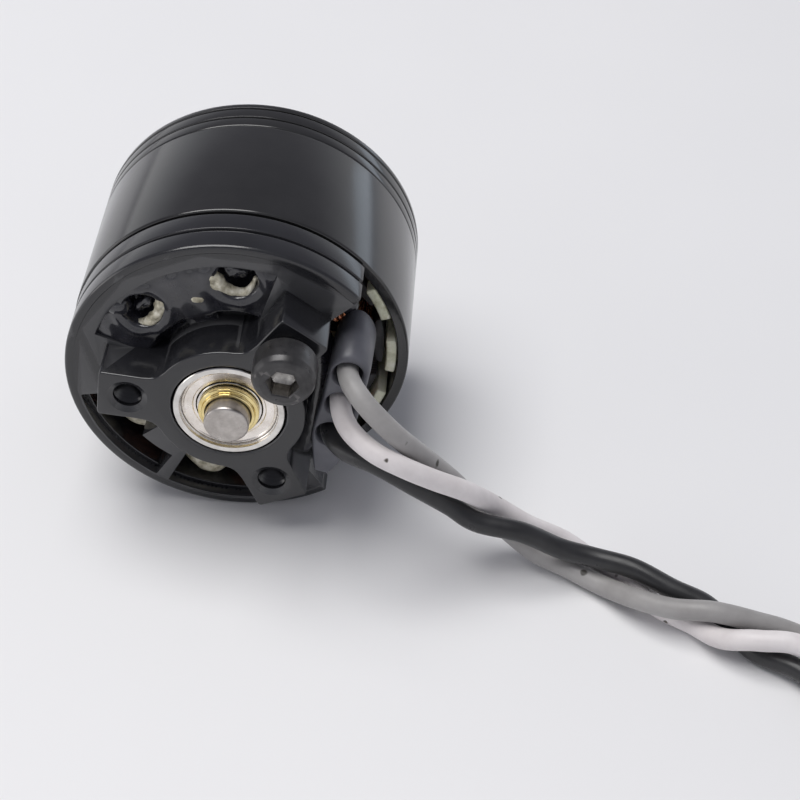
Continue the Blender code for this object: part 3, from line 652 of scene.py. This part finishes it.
def strands(name, end, ahead):
    """The bare end: twisted copper strands soaked with solder, from inside the insulation."""
    side = ahead.cross(Vector((0.0, 0.0, 1.0))).normalized()
    up = side.cross(ahead)
    shape = bmesh.new()
    long = 5.25 * MM
    steps = 22
    for strand in range(7):
        radius = 0.0 if strand == 6 else 0.385 * MM
        thick = 0.21 * MM
        rings = []
        for i in range(steps + 1):
            t = i / steps
            angle = math.tau * (strand / 6 + 1.1 * t)
            centre = end + ahead * (t * long) + (side * math.cos(angle) + up * math.sin(angle)) * radius
            rings.append(ring_about(shape, centre, side, up, thick, 8))
        skin(shape, rings)
    obj = from_bmesh(name, shape)
    obj.data.materials.append(TIN)
    return shade(obj, 50.0)


# ---------------------------------------------------------------- base


def thread_cutter(name, radius, deep, low, high, pitch=0.5):
    """A hole with a 60-degree thread's ridges."""
    profile = [(0.0, high), (radius, high)]
    z = high
    while z > low + 0.35 + pitch:
        z -= pitch / 2
        profile.append((deep, z))
        z -= pitch / 2
        profile.append((radius, z))
    profile += [(radius, low + 0.3), (deep + 0.25, low), (deep + 0.25, low - 1.0), (0.0, low - 1.0)]
    return lathe(name, profile, 48)


def hub_outline():
    outline = []
    for angle in ARM_ANGLES:
        arm = [
            (HUB_R - 0.72, 3.2), (HUB_R - 0.5, 2.93), (HUB_R - 0.16, 2.7), (HUB_R + 0.3, 2.54),
            (HUB_R + 1.0, ARM_HALF), (ARM_END - 0.3, ARM_HALF), (ARM_END - 0.08, ARM_HALF - 0.09),
            (ARM_END, ARM_HALF - 0.3),
        ]
        outline += turn(arm, angle)
        outline += turn([(x, -y) for x, y in reversed(arm)], angle)
        outline += arc(HUB_R, angle + 30.5, angle + 89.5, 28)
    return outline


def base():
    hub = prism("base", [hub_outline()], 0.0, FLOOR_BACK_Z - 0.1)
    bore_profile = [
        (0.0, FLOOR_BACK_Z + 1.0), (BEARING_R - 0.8, FLOOR_BACK_Z + 1.0),
        (BEARING_R - 0.8, 4.15), (BEARING_R + 0.1, 4.15), (BEARING_R + 0.1, 0.2),
        (BEARING_R + 0.3, 0.0), (BEARING_R + 0.3, -1.0), (0.0, -1.0),
    ]
    bore = lathe("bore", bore_profile, 128)
    cut(hub, [bore])
    bevel(hub, 0.22, 4, 40.0)
    ring_profile = [
        (RING_R, RING_BACK_Z, 0.15), (RING_R, 6.5, 0.08), (RING_R - 0.3, 6.4, 0.05),
        (RING_R - 0.3, 6.1, 0.05), (RING_R, 6.0, 0.08), (RING_R, FLOOR_Z, 0.55),
        (RING_STEP, FLOOR_Z, 0.12), (RING_STEP, FLOOR_Z + 1.0, 0.1),
        (RING_INNER, FLOOR_Z + 1.0, 0.1), (RING_INNER, RING_BACK_Z, 0.1),
    ]
    ring = lathe("ring", eased(ring_profile, steps=4), 144, RING_FROM, RING_TO)
    bevel(ring, 0.1, 2, 60.0)
    rim = RING_STEP - 0.2
    windows = [
        (70.0, 99.0, HUB_R + 0.05, UPPER_WINDOW_R),
        (122.0, 157.0, HUB_R + 0.05, UPPER_WINDOW_R),
        (188.5, 217.5, WINDOW_INNER, rim),
        (214.0, 235.5, LEDGE_R, rim),
        (240.5, 276.0, WINDOW_INNER, rim),
    ]
    floor = prism(
        "floor",
        [
            arc(RING_STEP + 0.05, RING_FROM - 0.3, RING_TO + 0.3, 130)
            + arc(TUBE_R - 0.4, RING_TO + 0.3, RING_FROM - 0.3, 60)
        ],
        FLOOR_Z + 0.03,
        FLOOR_BACK_Z,
    )
    openings = []
    for start, end, inner, outer in windows:
        outline = rounded_sector(inner, outer, start, end, 0.7, 26)
        openings.append(prism("window", [outline], FLOOR_Z - 0.4, FLOOR_BACK_Z + 0.4))
    bridge = rounded_sector(HUB_R + 0.05, UPPER_WINDOW_R, 95.0, 126.0, 0.7, 26)
    openings.append(prism("bridge", [bridge], FLOOR_Z - 0.4, FLOOR_Z + 1.0))
    cut(floor, openings)
    bevel(floor, 0.14, 2, 40.0)
    tube = lathe(
        "tube",
        eased([(TUBE_R, 19.3), (TUBE_R, 5.6), (4.5, 5.6), (4.5, 15.1), (5.1, 15.1), (5.1, 19.3)], 0.1),
        96,
    )
    cut(hub, [ring, floor, tube], "UNION")
    holes = []
    for index, angle in enumerate(ARM_ANGLES):
        radius = THREAD_R + 0.08 if index == 0 else TAPPED_R
        hole = thread_cutter("hole", radius, THREAD_R + 0.05, 0.0, FLOOR_BACK_Z + 1.0)
        x, y = polar(HOLE_CIRCLE, angle)
        hole.data.transform(Matrix.Translation((x, y, 0.0)))
        holes.append(hole)
    cut(hub, holes)
    hub.name = "base"
    done(hub, BASE, "stator", ["base_mount"], 30.0)


# ---------------------------------------------------------------- fitted screw


def screw():
    head = [
        (0.0, HEAD_TOP_Z), (1.95, HEAD_TOP_Z, 0.15), (2.5, HEAD_TOP_Z + 0.18, 0.5),
        (HEAD_R, HEAD_TOP_Z + 0.75, 0.5), (HEAD_R, HEAD_BACK_Z, 0.12),
        (THREAD_R, HEAD_BACK_Z, 0.05),
    ]
    profile = eased(head, steps=5, closed=False)
    z = HEAD_BACK_Z + 0.1
    while z < 6.2:
        profile += [(THREAD_R, z), (THREAD_R, z + 0.08)]
        profile += [(THREAD_R - 0.27, z + 0.25), (THREAD_R - 0.27, z + 0.3)]
        z += 0.5
    profile += [(THREAD_R - 0.3, 6.4), (THREAD_R - 0.5, SCREW_TIP_Z), (0.0, SCREW_TIP_Z)]
    body = lathe("fitted_screw", list(reversed(profile)), 96)
    corner = HEX_ACROSS / math.sqrt(3.0)
    socket_profile = [
        (0.0, HEAD_TOP_Z + 2.3), (corner, HEAD_TOP_Z + 1.6), (corner, HEAD_TOP_Z + 0.1),
        (corner + 0.25, HEAD_TOP_Z - 0.12), (corner + 0.25, HEAD_TOP_Z - 1.0),
        (0.0, HEAD_TOP_Z - 1.0),
    ]
    wall = lathe("socket", socket_profile, 6)
    wall.data.transform(Matrix.Rotation(math.radians(12.0), 4, "Z"))
    cut(body, [wall])
    bevel(body, 0.05, 2, 50.0)
    x, y = polar(HOLE_CIRCLE, ARM_ANGLES[0])
    body.data.transform(Matrix.Translation((x, y, 0.0)))
    done(body, SCREW, "stator", ["mounting_screw"], 40.0)
    body.data.materials.append(SOCKET)
    centre = TO_WORLD @ Vector((x, y, 0.0))
    for face in body.data.polygons:
        away = math.hypot(face.center.x - centre.x, face.center.z - centre.z)
        deep = face.center.y - centre.y
        if away < 1.42 * MM and (HEAD_TOP_Z + 0.12) * MM < deep < (HEAD_TOP_Z + 2.6) * MM:
            face.material_index = 1


# ---------------------------------------------------------------- wire guide


def guide_outline(outer_half, inner_half, end_radius, fine=5):
    """A bar that follows the three lead holes, rounded at its upper end and narrower at its lower one."""
    line = [Vector(place) for place in GUIDE_HOLES] + [Vector(GUIDE_FOOT), Vector(GUIDE_TOE)]
    shares = (1.0, 1.0, 1.0, 0.75, 0.4)
    outer = []
    inner = []
    for index, place in enumerate(line):
        before = line[max(index - 1, 0)]
        after = line[min(index + 1, len(line) - 1)]
        along = (before - after).normalized()
        side = Vector((along.y, -along.x))
        outer.append(place + side * outer_half * shares[index])
        inner.append(place - side * inner_half * shares[index])
    outer = densified(outer, fine)
    inner = densified(inner, fine)
    top = line[0]
    up = (line[0] - line[1]).normalized()
    right = Vector((up.y, -up.x))
    steps = 18
    cap = []
    for i in range(1, steps):
        turn_by = math.pi * i / steps
        share = i / steps
        width = outer_half + (inner_half - outer_half) * share * share * (3 - 2 * share)
        cap.append(top + right * math.cos(turn_by) * width + up * math.sin(turn_by) * end_radius)
    points = list(reversed(outer)) + cap + inner
    return [(point.x, -point.y) for point in points]


def densified(points, fine):
    """More points along a smooth line through the given ones."""
    out = []
    for index in range(len(points) - 1):
        p0 = points[max(index - 1, 0)]
        p1 = points[index]
        p2 = points[index + 1]
        p3 = points[min(index + 2, len(points) - 1)]
        for step in range(fine):
            t = step / fine
            out.append(
                0.5
                * (
                    2 * p1
                    + (p2 - p0) * t
                    + (2 * p0 - 5 * p1 + 4 * p2 - p3) * t**2
                    + (3 * p1 - p0 - 3 * p2 + p3) * t**3
                )
            )
    out.append(points[-1])
    return out


def wire_guide():
    face = 1.5
    back = 6.9
    sections = (
        (face, guide_outline(1.42, 1.42, 1.62)),
        (face + 0.06, guide_outline(1.6, 1.56, 1.82)),
        (face + 0.2, guide_outline(1.78, 1.65, 2.0)),
        (face + 0.5, guide_outline(1.9, 1.7, 2.15)),
        (face + 1.2, guide_outline(1.96, 1.7, 2.4)),
        (face + 2.2, guide_outline(2.0, 1.68, 2.65)),
        (face + 3.3, guide_outline(2.05, 1.64, 2.9)),
        (back - 1.0, guide_outline(2.08, 1.6, 3.05)),
        (back - 0.15, guide_outline(2.08, 1.58, 3.15)),
        (back, guide_outline(2.0, 1.5, 3.1)),
    )
    shape = bmesh.new()
    rings = [[shape.verts.new((x, y, z)) for x, y in outline] for z, outline in sections]
    skin(shape, rings)
    body = from_bmesh("wire_guide_body", shape)
    hole_profile = [
        (0.0, back + 1.0), (1.3, back + 1.0), (1.3, face + 0.3), (1.36, face + 0.12),
        (1.5, face), (1.5, face - 1.0), (0.0, face - 1.0),
    ]
    holes = []
    for across, up in GUIDE_HOLES:
        hole = lathe("lead_hole", hole_profile, 48)
        hole.data.transform(Matrix.Translation((across, -up, 0.0)))
        holes.append(hole)
    cut(body, holes)
    done(body, GUIDE, "stator", ["wire_guide"], 40.0)


# ---------------------------------------------------------------- bearings


def bearing(name, low, flip):
    """Outer ring, stamped shield and inner ring. A flipped one shows its shield at the far side."""
    high = low + BEARING_WIDTH

    def side(points):
        return [(r, low + high - z, *rest) for r, z, *rest in points] if flip else points

    outer = [
        (BEARING_R, high, 0.2), (BEARING_R, low, 0.2), (4.42, low, 0.06),
        (4.38, low + 0.35, 0.04), (4.3, low + 0.42, 0.04), (4.3, high - 0.42, 0.04),
        (4.38, high - 0.35, 0.04), (4.42, high, 0.06),
    ]
    ring = lathe(name + "_outer_ring", eased(side(outer)), 160)
    done(ring, RING_STEEL, "stator", [name + "_bearing_outer_ring"])
    face = low + 0.5
    plate = [
        (4.28, face + 0.24, 0.03), (4.28, face - 0.02, 0.1), (4.12, face - 0.1, 0.05),
        (4.0, face + 0.03, 0.05), (3.3, face + 0.03, 0.05), (3.22, face + 0.1, 0.05),
        (3.0, face + 0.1, 0.03), (3.0, face + 0.24, 0.03),
    ]
    shield = lathe(name + "_shield", eased(side(plate)), 128)
    done(shield, SHIELD, "stator", [name + "_bearing_shield"])
    inner = [
        (2.9, low + 3.5, 0.12), (2.9, low + 0.5, 0.12), (2.08, low + 0.5, 0.12),
        (2.08, low + 3.5, 0.12),
    ]
    ring = lathe(name + "_inner_ring", eased(side(inner)), 128)
    done(ring, RING_STEEL, "rotor", [name + "_bearing_inner_ring"])


# ---------------------------------------------------------------- stator


def stator_outline():
    outline = []
    step = 360.0 / TEETH
    for tooth in range(TEETH):
        angle = tooth * step
        root = math.degrees(math.asin(0.9 / 8.0))
        neck = math.degrees(math.asin(0.9 / 12.0))
        outline.append(polar(8.0, angle - root))
        outline.append(polar(11.9, angle - neck))
        outline.append(polar(12.25, angle - neck - 1.4))
        outline.append(polar(12.5, angle - 10.6))
        outline += arc(13.05, angle - 11.4, angle + 11.4, 10)
        outline.append(polar(12.5, angle + 10.6))
        outline.append(polar(12.25, angle + neck + 1.4))
        outline.append(polar(11.9, angle + neck))
        outline.append(polar(8.0, angle + root))
        outline += arc(7.75, angle + root + 2.0, angle + step - root - 2.0, 4)
    return outline


def insulator_outline():
    outline = []
    step = 360.0 / TEETH
    for tooth in range(TEETH):
        angle = tooth * step
        root = math.degrees(math.asin(1.1 / 8.2))
        end = math.degrees(math.asin(1.1 / 12.0))
        outline.append(polar(8.2, angle - root))
        outline += arc(12.0, angle - end, angle + end, 3)
        outline.append(polar(8.2, angle + root))
        outline += arc(8.0, angle + root + 2.0, angle + step - root - 2.0, 3)
    return outline


def winding(tooth, seed):
    """One tooth's coil: close turns of round enamelled wire, laid in two layers, a little uneven."""
    rng = random.Random(seed)
    wire = 0.27
    half_side = 1.3 + wire
    half_up = (STACK[1] - STACK[0]) / 2 + 0.62 + wire
    middle = (STACK[0] + STACK[1]) / 2
    shape = bmesh.new()
    layers = ((0.0, 6, 8.8), (2 * wire * 0.88, 5, 9.1))
    for grow, turns, start in layers:
        for k in range(turns):
            radius = start + k * 2 * wire * 0.99
            wide = (half_side + grow) * (1.0 + 0.035 * max(0.0, radius - 9.6))
            path = []
            steps = 36
            for i in range(steps):
                angle = math.tau * i / steps
                cos = math.cos(angle)
                sin = math.sin(angle)
                x = wide * math.copysign(abs(cos) ** 0.45, cos)
                z = (half_up + grow) * math.copysign(abs(sin) ** 0.32, sin)
                lean = 0.5 * wire * math.sin(angle / 2) * 1.2
                wave = rng.uniform(-0.03, 0.03)
                path.append(Vector((radius + lean + wave, x + wave, middle + z + wave)))
            tube(shape, path, wire, 8)
    obj = from_bmesh("winding_%02d_turns" % (tooth + 1), shape)
    obj.data.transform(Matrix.Rotation(math.tau * tooth / TEETH, 4, "Z"))
    done(obj, COPPER, "stator", ["winding_%02d" % (tooth + 1)], 60.0)


def tube(shape, path, radius, sides):
    """A closed loop of round wire along the path."""
    count = len(path)
    rings = []
    outward = Vector((1.0, 0.0, 0.0))
    for i, point in enumerate(path):
        along = (path[(i + 1) % count] - path[i - 1]).normalized()
        side = along.cross(outward).normalized()
        up = side.cross(along).normalized()
        rings.append(ring_about(shape, point, side, up, radius, sides))
    skin(shape, rings, loop=True)


def stator():
    core = prism("stator_stack", [stator_outline(), arc(6.4, 0.0, 357.0, 119)], *STACK)
    done(bevel(core, 0.06, 2, 40.0), CORE, "stator", ["stator_core"])
    collar = arc(6.7, 0.0, 354.0, 59)
    for name, low in (("front_insulator", STACK[0] - 0.5), ("rear_insulator", STACK[1] + 0.1)):
        sheet = prism(name + "_sheet", [insulator_outline(), collar], low, low + 0.4)
        done(bevel(sheet, 0.1, 2, 40.0), INSULATOR, "stator", [name])
    for tooth in range(TEETH):
        winding(tooth, 40 + tooth)


# ---------------------------------------------------------------- rotor


def groove(z, depth=0.25, half=0.17):
    return [
        (BELL_R, z + half, 0.05),
        (BELL_R - depth, z + half * 0.5, 0.05),
        (BELL_R - depth, z - half * 0.5, 0.05),
        (BELL_R, z - half, 0.05),
    ]


def rotor():
    tube_profile = [
        (BELL_R, JOINT_Z - 0.04, 0.12), (BELL_R, LIP_Z, 0.25), (FLUX_INNER, LIP_Z, 0.12),
        (FLUX_INNER, JOINT_Z - 0.04, 0.05),
    ]
    ring = lathe("bell_tube", eased(tube_profile, steps=5), 256)
    done(ring, BELL, "rotor", ["flux_ring"])
    cap_profile = [
        (SHAFT_R + 0.06, SEAT_Z, 0.15), (SEAT_R, SEAT_Z, 0.2), (SEAT_R, BELL_TOP_Z, 0.12),
        (BELL_R, BELL_TOP_Z, 0.35), *groove(25.0), *groove(23.5), (BELL_R, JOINT_Z + 0.02, 0.2),
        (FLUX_INNER, JOINT_Z + 0.02, 0.05), (FLUX_INNER - 0.4, 23.4, 0.2), (4.6, 23.4, 0.2),
        (4.6, 20.0, 0.12), (SHAFT_R + 0.06, 20.0, 0.12),
    ]
    cap = lathe("bell_end", eased(cap_profile, steps=4), 256)
    cutters = []
    for vent in range(6):
        start = 60.0 * vent + 10.0
        outline = rounded_sector(8.6, 12.9, start, start + 40.0)
        cutters.append(prism("vent", [outline], 23.0, 27.0))
    for hole in range(4):
        place = polar(6.0, 45.0 + 90.0 * hole)
        cutter = thread_cutter("prop_hole", 0.82, 1.02, 0.0, 3.0, 0.4)
        cutter.data.transform(Matrix.Translation((*place, SEAT_Z)) @ Matrix.Rotation(math.pi, 4, "X"))
        cutters.append(cutter)
    cut(cap, cutters)
    done(cap, BELL, "rotor", ["bell_cap"], 30.0)
    for pole in range(POLES):
        outline = rounded_sector(*MAGNET_RADII, -MAGNET_ARC / 2, MAGNET_ARC / 2, 0.3, 8)
        magnet = prism("magnet", [outline], *MAGNET_Z)
        bevel(magnet, 0.16, 3, 50.0)
        turned = -math.radians(FIRST_MAGNET + 360.0 * pole / POLES)
        magnet.data.transform(Matrix.Rotation(turned, 4, "Z"))
        name = "magnet_%02d" % (pole + 1)
        magnet.name = name + "_arc"
        done(magnet, MAGNET, "rotor", [name], 40.0)
    rod_profile = [
        (0.0, SHAFT_Z[1]), (SHAFT_R, SHAFT_Z[1], 0.35), (SHAFT_R, 1.2, 0.05),
        (SHAFT_R - 0.12, 1.1, 0.05), (SHAFT_R - 0.12, 0.9, 0.05), (SHAFT_R, 0.8, 0.05),
        (SHAFT_R, SHAFT_Z[0], 0.3), (0.0, SHAFT_Z[0]),
    ]
    rod = lathe("shaft_rod", eased(rod_profile, steps=4, closed=False), 128)
    done(rod, SHAFT, "rotor", ["shaft"])
    collar_profile = [
        (2.72, 0.42, 0.05), (2.72, -0.1, 0.12), (2.42, -0.12, 0.03), (2.36, -0.42, 0.12),
        (2.08, -0.42, 0.06), (2.08, 0.42, 0.05),
    ]
    collar = lathe("collar", eased(collar_profile, steps=4), 128)
    done(collar, BRASS, "rotor", ["brass_collar"])


def rounded_sector(inner, outer, start, end, corner=0.7, steps=20):
    """A piece of a ring with rounded corners."""
    points = arc(outer, start, end, steps) + arc(inner, end, start, steps)
    marked = []
    for index, (x, y) in enumerate(points):
        own = corner if index in (0, steps, steps + 1, 2 * steps + 1) else 0.0
        marked.append((x, y, own))
    return eased(marked, corner, 4)


# ---------------------------------------------------------------- resin over the windings' ends

# Two open pits in the dark resin: across, up, radius and extra depth.
PITS = ((-7.6, 7.8, 1.9, 2.2), (0.9, 11.5, 2.0, 2.3))


def eased_share(low, high, value):
    t = min(max((value - low) / (high - low), 0.0), 1.0)
    return t * t * (3 - 2 * t)


def resin_depth(across, up):
    """How far behind the arms' faces the dark resin's surface lies, at a place on the mounting face."""
    radius = math.hypot(across, up)
    angle = math.degrees(math.atan2(up, across))
    z = 4.0
    z += 1.5 * eased_share(8.3, 6.9, radius)
    bridge = eased_share(96.0, 102.0, angle) * eased_share(122.0, 115.0, angle)
    z -= bridge * (0.15 + 0.7 * eased_share(8.3, 6.9, radius))
    z += 0.25 * eased_share(12.2, 13.3, radius)
    for x, y, width, deep in PITS:
        away = math.hypot(across - x, up - y) / width
        z += deep * (1.0 - eased_share(0.55, 1.0, away))
        z -= 0.16 * math.exp(-((away - 1.3) ** 2) / 0.06)
    z += 0.07 * math.sin(across * 1.3 + 0.7) * math.sin(up * 1.1 + 0.4)
    z += 0.02 * math.sin(across * 3.1 + up * 2.3)
    return z


def resin_film():
    """Dark resin poured over the windings' ends, as a sheet with an uneven face and two open pits."""
    shape = bmesh.new()
    columns = 150
    rows = 64
    front = []
    back = []
    for i in range(columns + 1):
        angle = 58.0 + 104.0 * i / columns
        front_line = []
        back_line = []
        for k in range(rows + 1):
            radius = HUB_R - 0.35 + (RING_INNER - 0.15 - HUB_R + 0.35) * k / rows
            x, y = polar(radius, angle)
            z = resin_depth(x, -y)
            front_line.append(shape.verts.new((x, y, z)))
            back_line.append(shape.verts.new((x, y, max(z, 6.0) + 0.5)))
        front.append(front_line)
        back.append(back_line)
    for i in range(columns):
        for k in range(rows):
            shape.faces.new((front[i][k], front[i][k + 1], front[i + 1][k + 1], front[i + 1][k]))
            shape.faces.new((back[i][k], back[i + 1][k], back[i + 1][k + 1], back[i][k + 1]))
    rims = [
        (front[0], back[0]),
        (front[-1], back[-1]),
        ([line[0] for line in front], [line[0] for line in back]),
        ([line[-1] for line in front], [line[-1] for line in back]),
    ]
    for near, far in rims:
        for k in range(len(near) - 1):
            shape.faces.new((near[k], near[k + 1], far[k + 1], far[k]))
    done(from_bmesh("dark_resin", shape), POTTING, "stator", smooth=70.0)


def lump(name, spots, material, seed, rough=0.16):
    """A run along spots of (across, up, z, radius), with round ends and an uneven skin."""
    rng = random.Random(seed)
    sides = 28
    centres = densified([Vector(spot[:3]) for spot in spots], 10)
    radii = densified([Vector((spot[3], 0.0)) for spot in spots], 10)
    first = centres[0] - centres[1]
    last = centres[-1] - centres[-2]

    def round_end(centre, ahead, radius):
        out = ahead.normalized() * radius
        caps = [math.radians(90.0 * step / 8) for step in range(1, 9)]
        return [(centre + out * math.sin(a), radius * math.cos(a)) for a in caps]

    head = round_end(centres[0], first, radii[0].x)
    tail = round_end(centres[-1], last, radii[-1].x)
    line = list(reversed(head)) + [(c, r.x) for c, r in zip(centres, radii)] + tail
    phases = [rng.uniform(0.0, math.tau) for _ in range(5)]
    shape = bmesh.new()
    rings = []
    for index, (centre, radius) in enumerate(line):
        ahead = line[min(index + 1, len(line) - 1)][0] - line[max(index - 1, 0)][0]
        side = ahead.cross(Vector((0.0, 0.0, 1.0))).normalized()
        over = side.cross(ahead).normalized()
        ring = []
        for k in range(sides):
            around = math.tau * k / sides
            wave = math.sin(2 * around + centre.x * 3.1 + phases[0]) * math.sin(centre.y * 3.7 + phases[1])
            wave += 0.6 * math.sin(5 * around + centre.y * 6.0 + phases[2])
            wave += 0.4 * math.sin(9 * around + centre.x * 11.0 + phases[3])
            swell = max(radius, 0.002) * (1.0 + rough * 0.6 * wave)
            spot = centre + (side * math.cos(around) + over * math.sin(around)) * swell
            ring.append(shape.verts.new((spot.x, -spot.y, spot.z)))
        rings.append(ring)
    skin(shape, rings)
    return done(from_bmesh(name, shape), material, "stator", smooth=80.0)


def resin():
    resin_film()
    left = [
        (-6.0, 9.2, 4.55, 0.45), (-5.9, 8.4, 4.45, 0.62), (-6.2, 7.4, 4.5, 0.55),
        (-6.9, 6.5, 4.6, 0.6), (-7.8, 6.0, 4.7, 0.4), (-8.9, 6.0, 4.8, 0.26),
    ]
    right = [
        (-1.2, 11.7, 4.4, 0.62), (-0.8, 11.0, 4.4, 0.68), (-0.1, 10.3, 4.5, 0.5),
        (0.8, 9.9, 4.6, 0.42), (1.6, 9.9, 4.6, 0.45), (2.1, 10.6, 4.6, 0.26),
        (2.5, 11.5, 4.6, 0.2),
    ]
    lump("resin_rim_left", left, CREAM, 3)
    lump("resin_rim_right", right, CREAM, 4)
    lump("resin_drop", [(-2.9, 9.4, 4.0, 0.3), (-2.3, 9.4, 4.0, 0.26)], CREAM, 5)
    lump("resin_bead_left", [(-8.0, 7.5, 5.4, 0.6), (-7.2, 8.1, 5.3, 0.6)], GLOSS, 6, 0.3)
    lump("resin_bead_right", [(0.2, 12.0, 5.4, 0.7), (1.3, 11.7, 5.4, 0.65)], GLOSS, 7, 0.3)
    lump("resin_dome", [(-10.0, 7.9, 4.95, 1.15), (-9.8, 7.9, 4.95, 1.15)], POTTING, 8, 0.02)
    lump("wire_end_upper", [(-8.9, 10.2, 4.4, 0.2), (-8.3, 10.3, 4.4, 0.16)], COPPER, 9)
    lump("wire_end_lower", [(-7.9, 4.9, 6.0, 0.2), (-7.3, 4.8, 6.0, 0.16)], COPPER, 10)
    lower = [
        (-4.9, -10.1, 6.9, 1.2), (-4.2, -11.2, 6.9, 1.55), (-3.2, -11.9, 6.9, 1.65),
        (-2.4, -11.5, 6.9, 1.35),
    ]
    side = [(-10.9, -6.0, 6.9, 0.8), (-10.1, -6.7, 6.9, 1.05), (-9.2, -7.2, 6.9, 0.95)]
    lump("resin_pad_lower", lower, CREAM, 11, 0.05)
    lump("resin_pad_side", side, CREAM, 12, 0.05)
    inner_side = [(4.7, -8.8), (5.8, -7.2), (6.7, -5.0), (7.4, -2.2), (7.7, 0.6), (7.6, 3.4)]
    behind = [(*point, 5.4, 1.5) for point in (*inner_side, (6.6, 5.9))]
    beside = [(6.9, 9.2, 7.5, 1.2), (8.7, 8.0, 7.5, 1.2), (10.2, 6.6, 7.5, 0.9)]
    lump("resin_beside_ring", beside, POTTING, 14, 0.02)
    lump("resin_behind_guide", behind, POTTING, 13, 0.012)


# ---------------------------------------------------------------- floor and light


# The room's brightness from the ground (0) over the horizon (0.5) to overhead (1).
SKY = (
    (0.0, (0.6, 0.6, 0.6)),
    (0.5, (0.8, 0.8, 0.82)),
    (0.62, (0.46, 0.47, 0.5)),
    (0.72, (0.2, 0.2, 0.23)),
    (0.9, (0.15, 0.155, 0.18)),
    (1.0, (0.3, 0.31, 0.34)),
)


def stage():
    shape = bmesh.new()
    bmesh.ops.create_grid(shape, x_segments=8, y_segments=8, size=2.0)
    floor = from_bmesh("table_top", shape, flip=False)
    floor.data.materials.append(table_top("table_top"))
    world = bpy.data.worlds.new("room")
    bpy.context.scene.world = world
    world.use_nodes = True
    nodes = world.node_tree.nodes
    links = world.node_tree.links
    where = nodes.new("ShaderNodeTexCoord")
    parts = nodes.new("ShaderNodeSeparateXYZ")
    links.new(where.outputs["Generated"], parts.inputs[0])
    ramp = nodes.new("ShaderNodeValToRGB")
    shift = nodes.new("ShaderNodeMath")
    shift.operation = "MULTIPLY_ADD"
    shift.inputs[1].default_value = 0.5
    shift.inputs[2].default_value = 0.5
    links.new(parts.outputs["Z"], shift.inputs[0])
    links.new(shift.outputs[0], ramp.inputs["Fac"])
    fill_ramp(ramp.color_ramp, SKY)
    background = nodes["Background"]
    links.new(ramp.outputs["Color"], background.inputs["Color"])
    background.inputs["Strength"].default_value = 1.3


def area_light(name, place, aim, size, power, colour=(1.0, 1.0, 1.0)):
    data = bpy.data.lights.new(name, "AREA")
    data.shape = "RECTANGLE"
    data.size = size[0]
    data.size_y = size[1]
    data.energy = power
    data.color = colour
    light = bpy.data.objects.new(name, data)
    bpy.context.scene.collection.objects.link(light)
    light.location = place
    light.rotation_euler = (Vector(aim) - Vector(place)).to_track_quat("-Z", "Y").to_euler()


add_camera()
lead("grey", GREY)
lead("white", WHITE)
lead("black", BLACK)
base()
screw()
wire_guide()
bearing("front", FRONT_BEARING_Z, False)
bearing("rear", REAR_BEARING_Z, True)
stator()
rotor()
resin()
stage()
area_light("overhead", (-0.14, 0.02, 0.55), (0.02, 0.0, 0.0), (0.46, 0.38), 2.7, (1.0, 0.99, 0.975))
area_light("sky_card", (0.46, 0.52, 0.07), (0.0, 0.0, 0.02), (0.3, 0.12), 0.08, (0.62, 0.8, 1.0))
area_light("left_card", (-0.42, -0.1, 0.1), (0.0, 0.0, 0.015), (0.3, 0.16), 0.2, (1.0, 0.97, 0.94))
bpy.context.scene.view_settings.view_transform = "Standard"
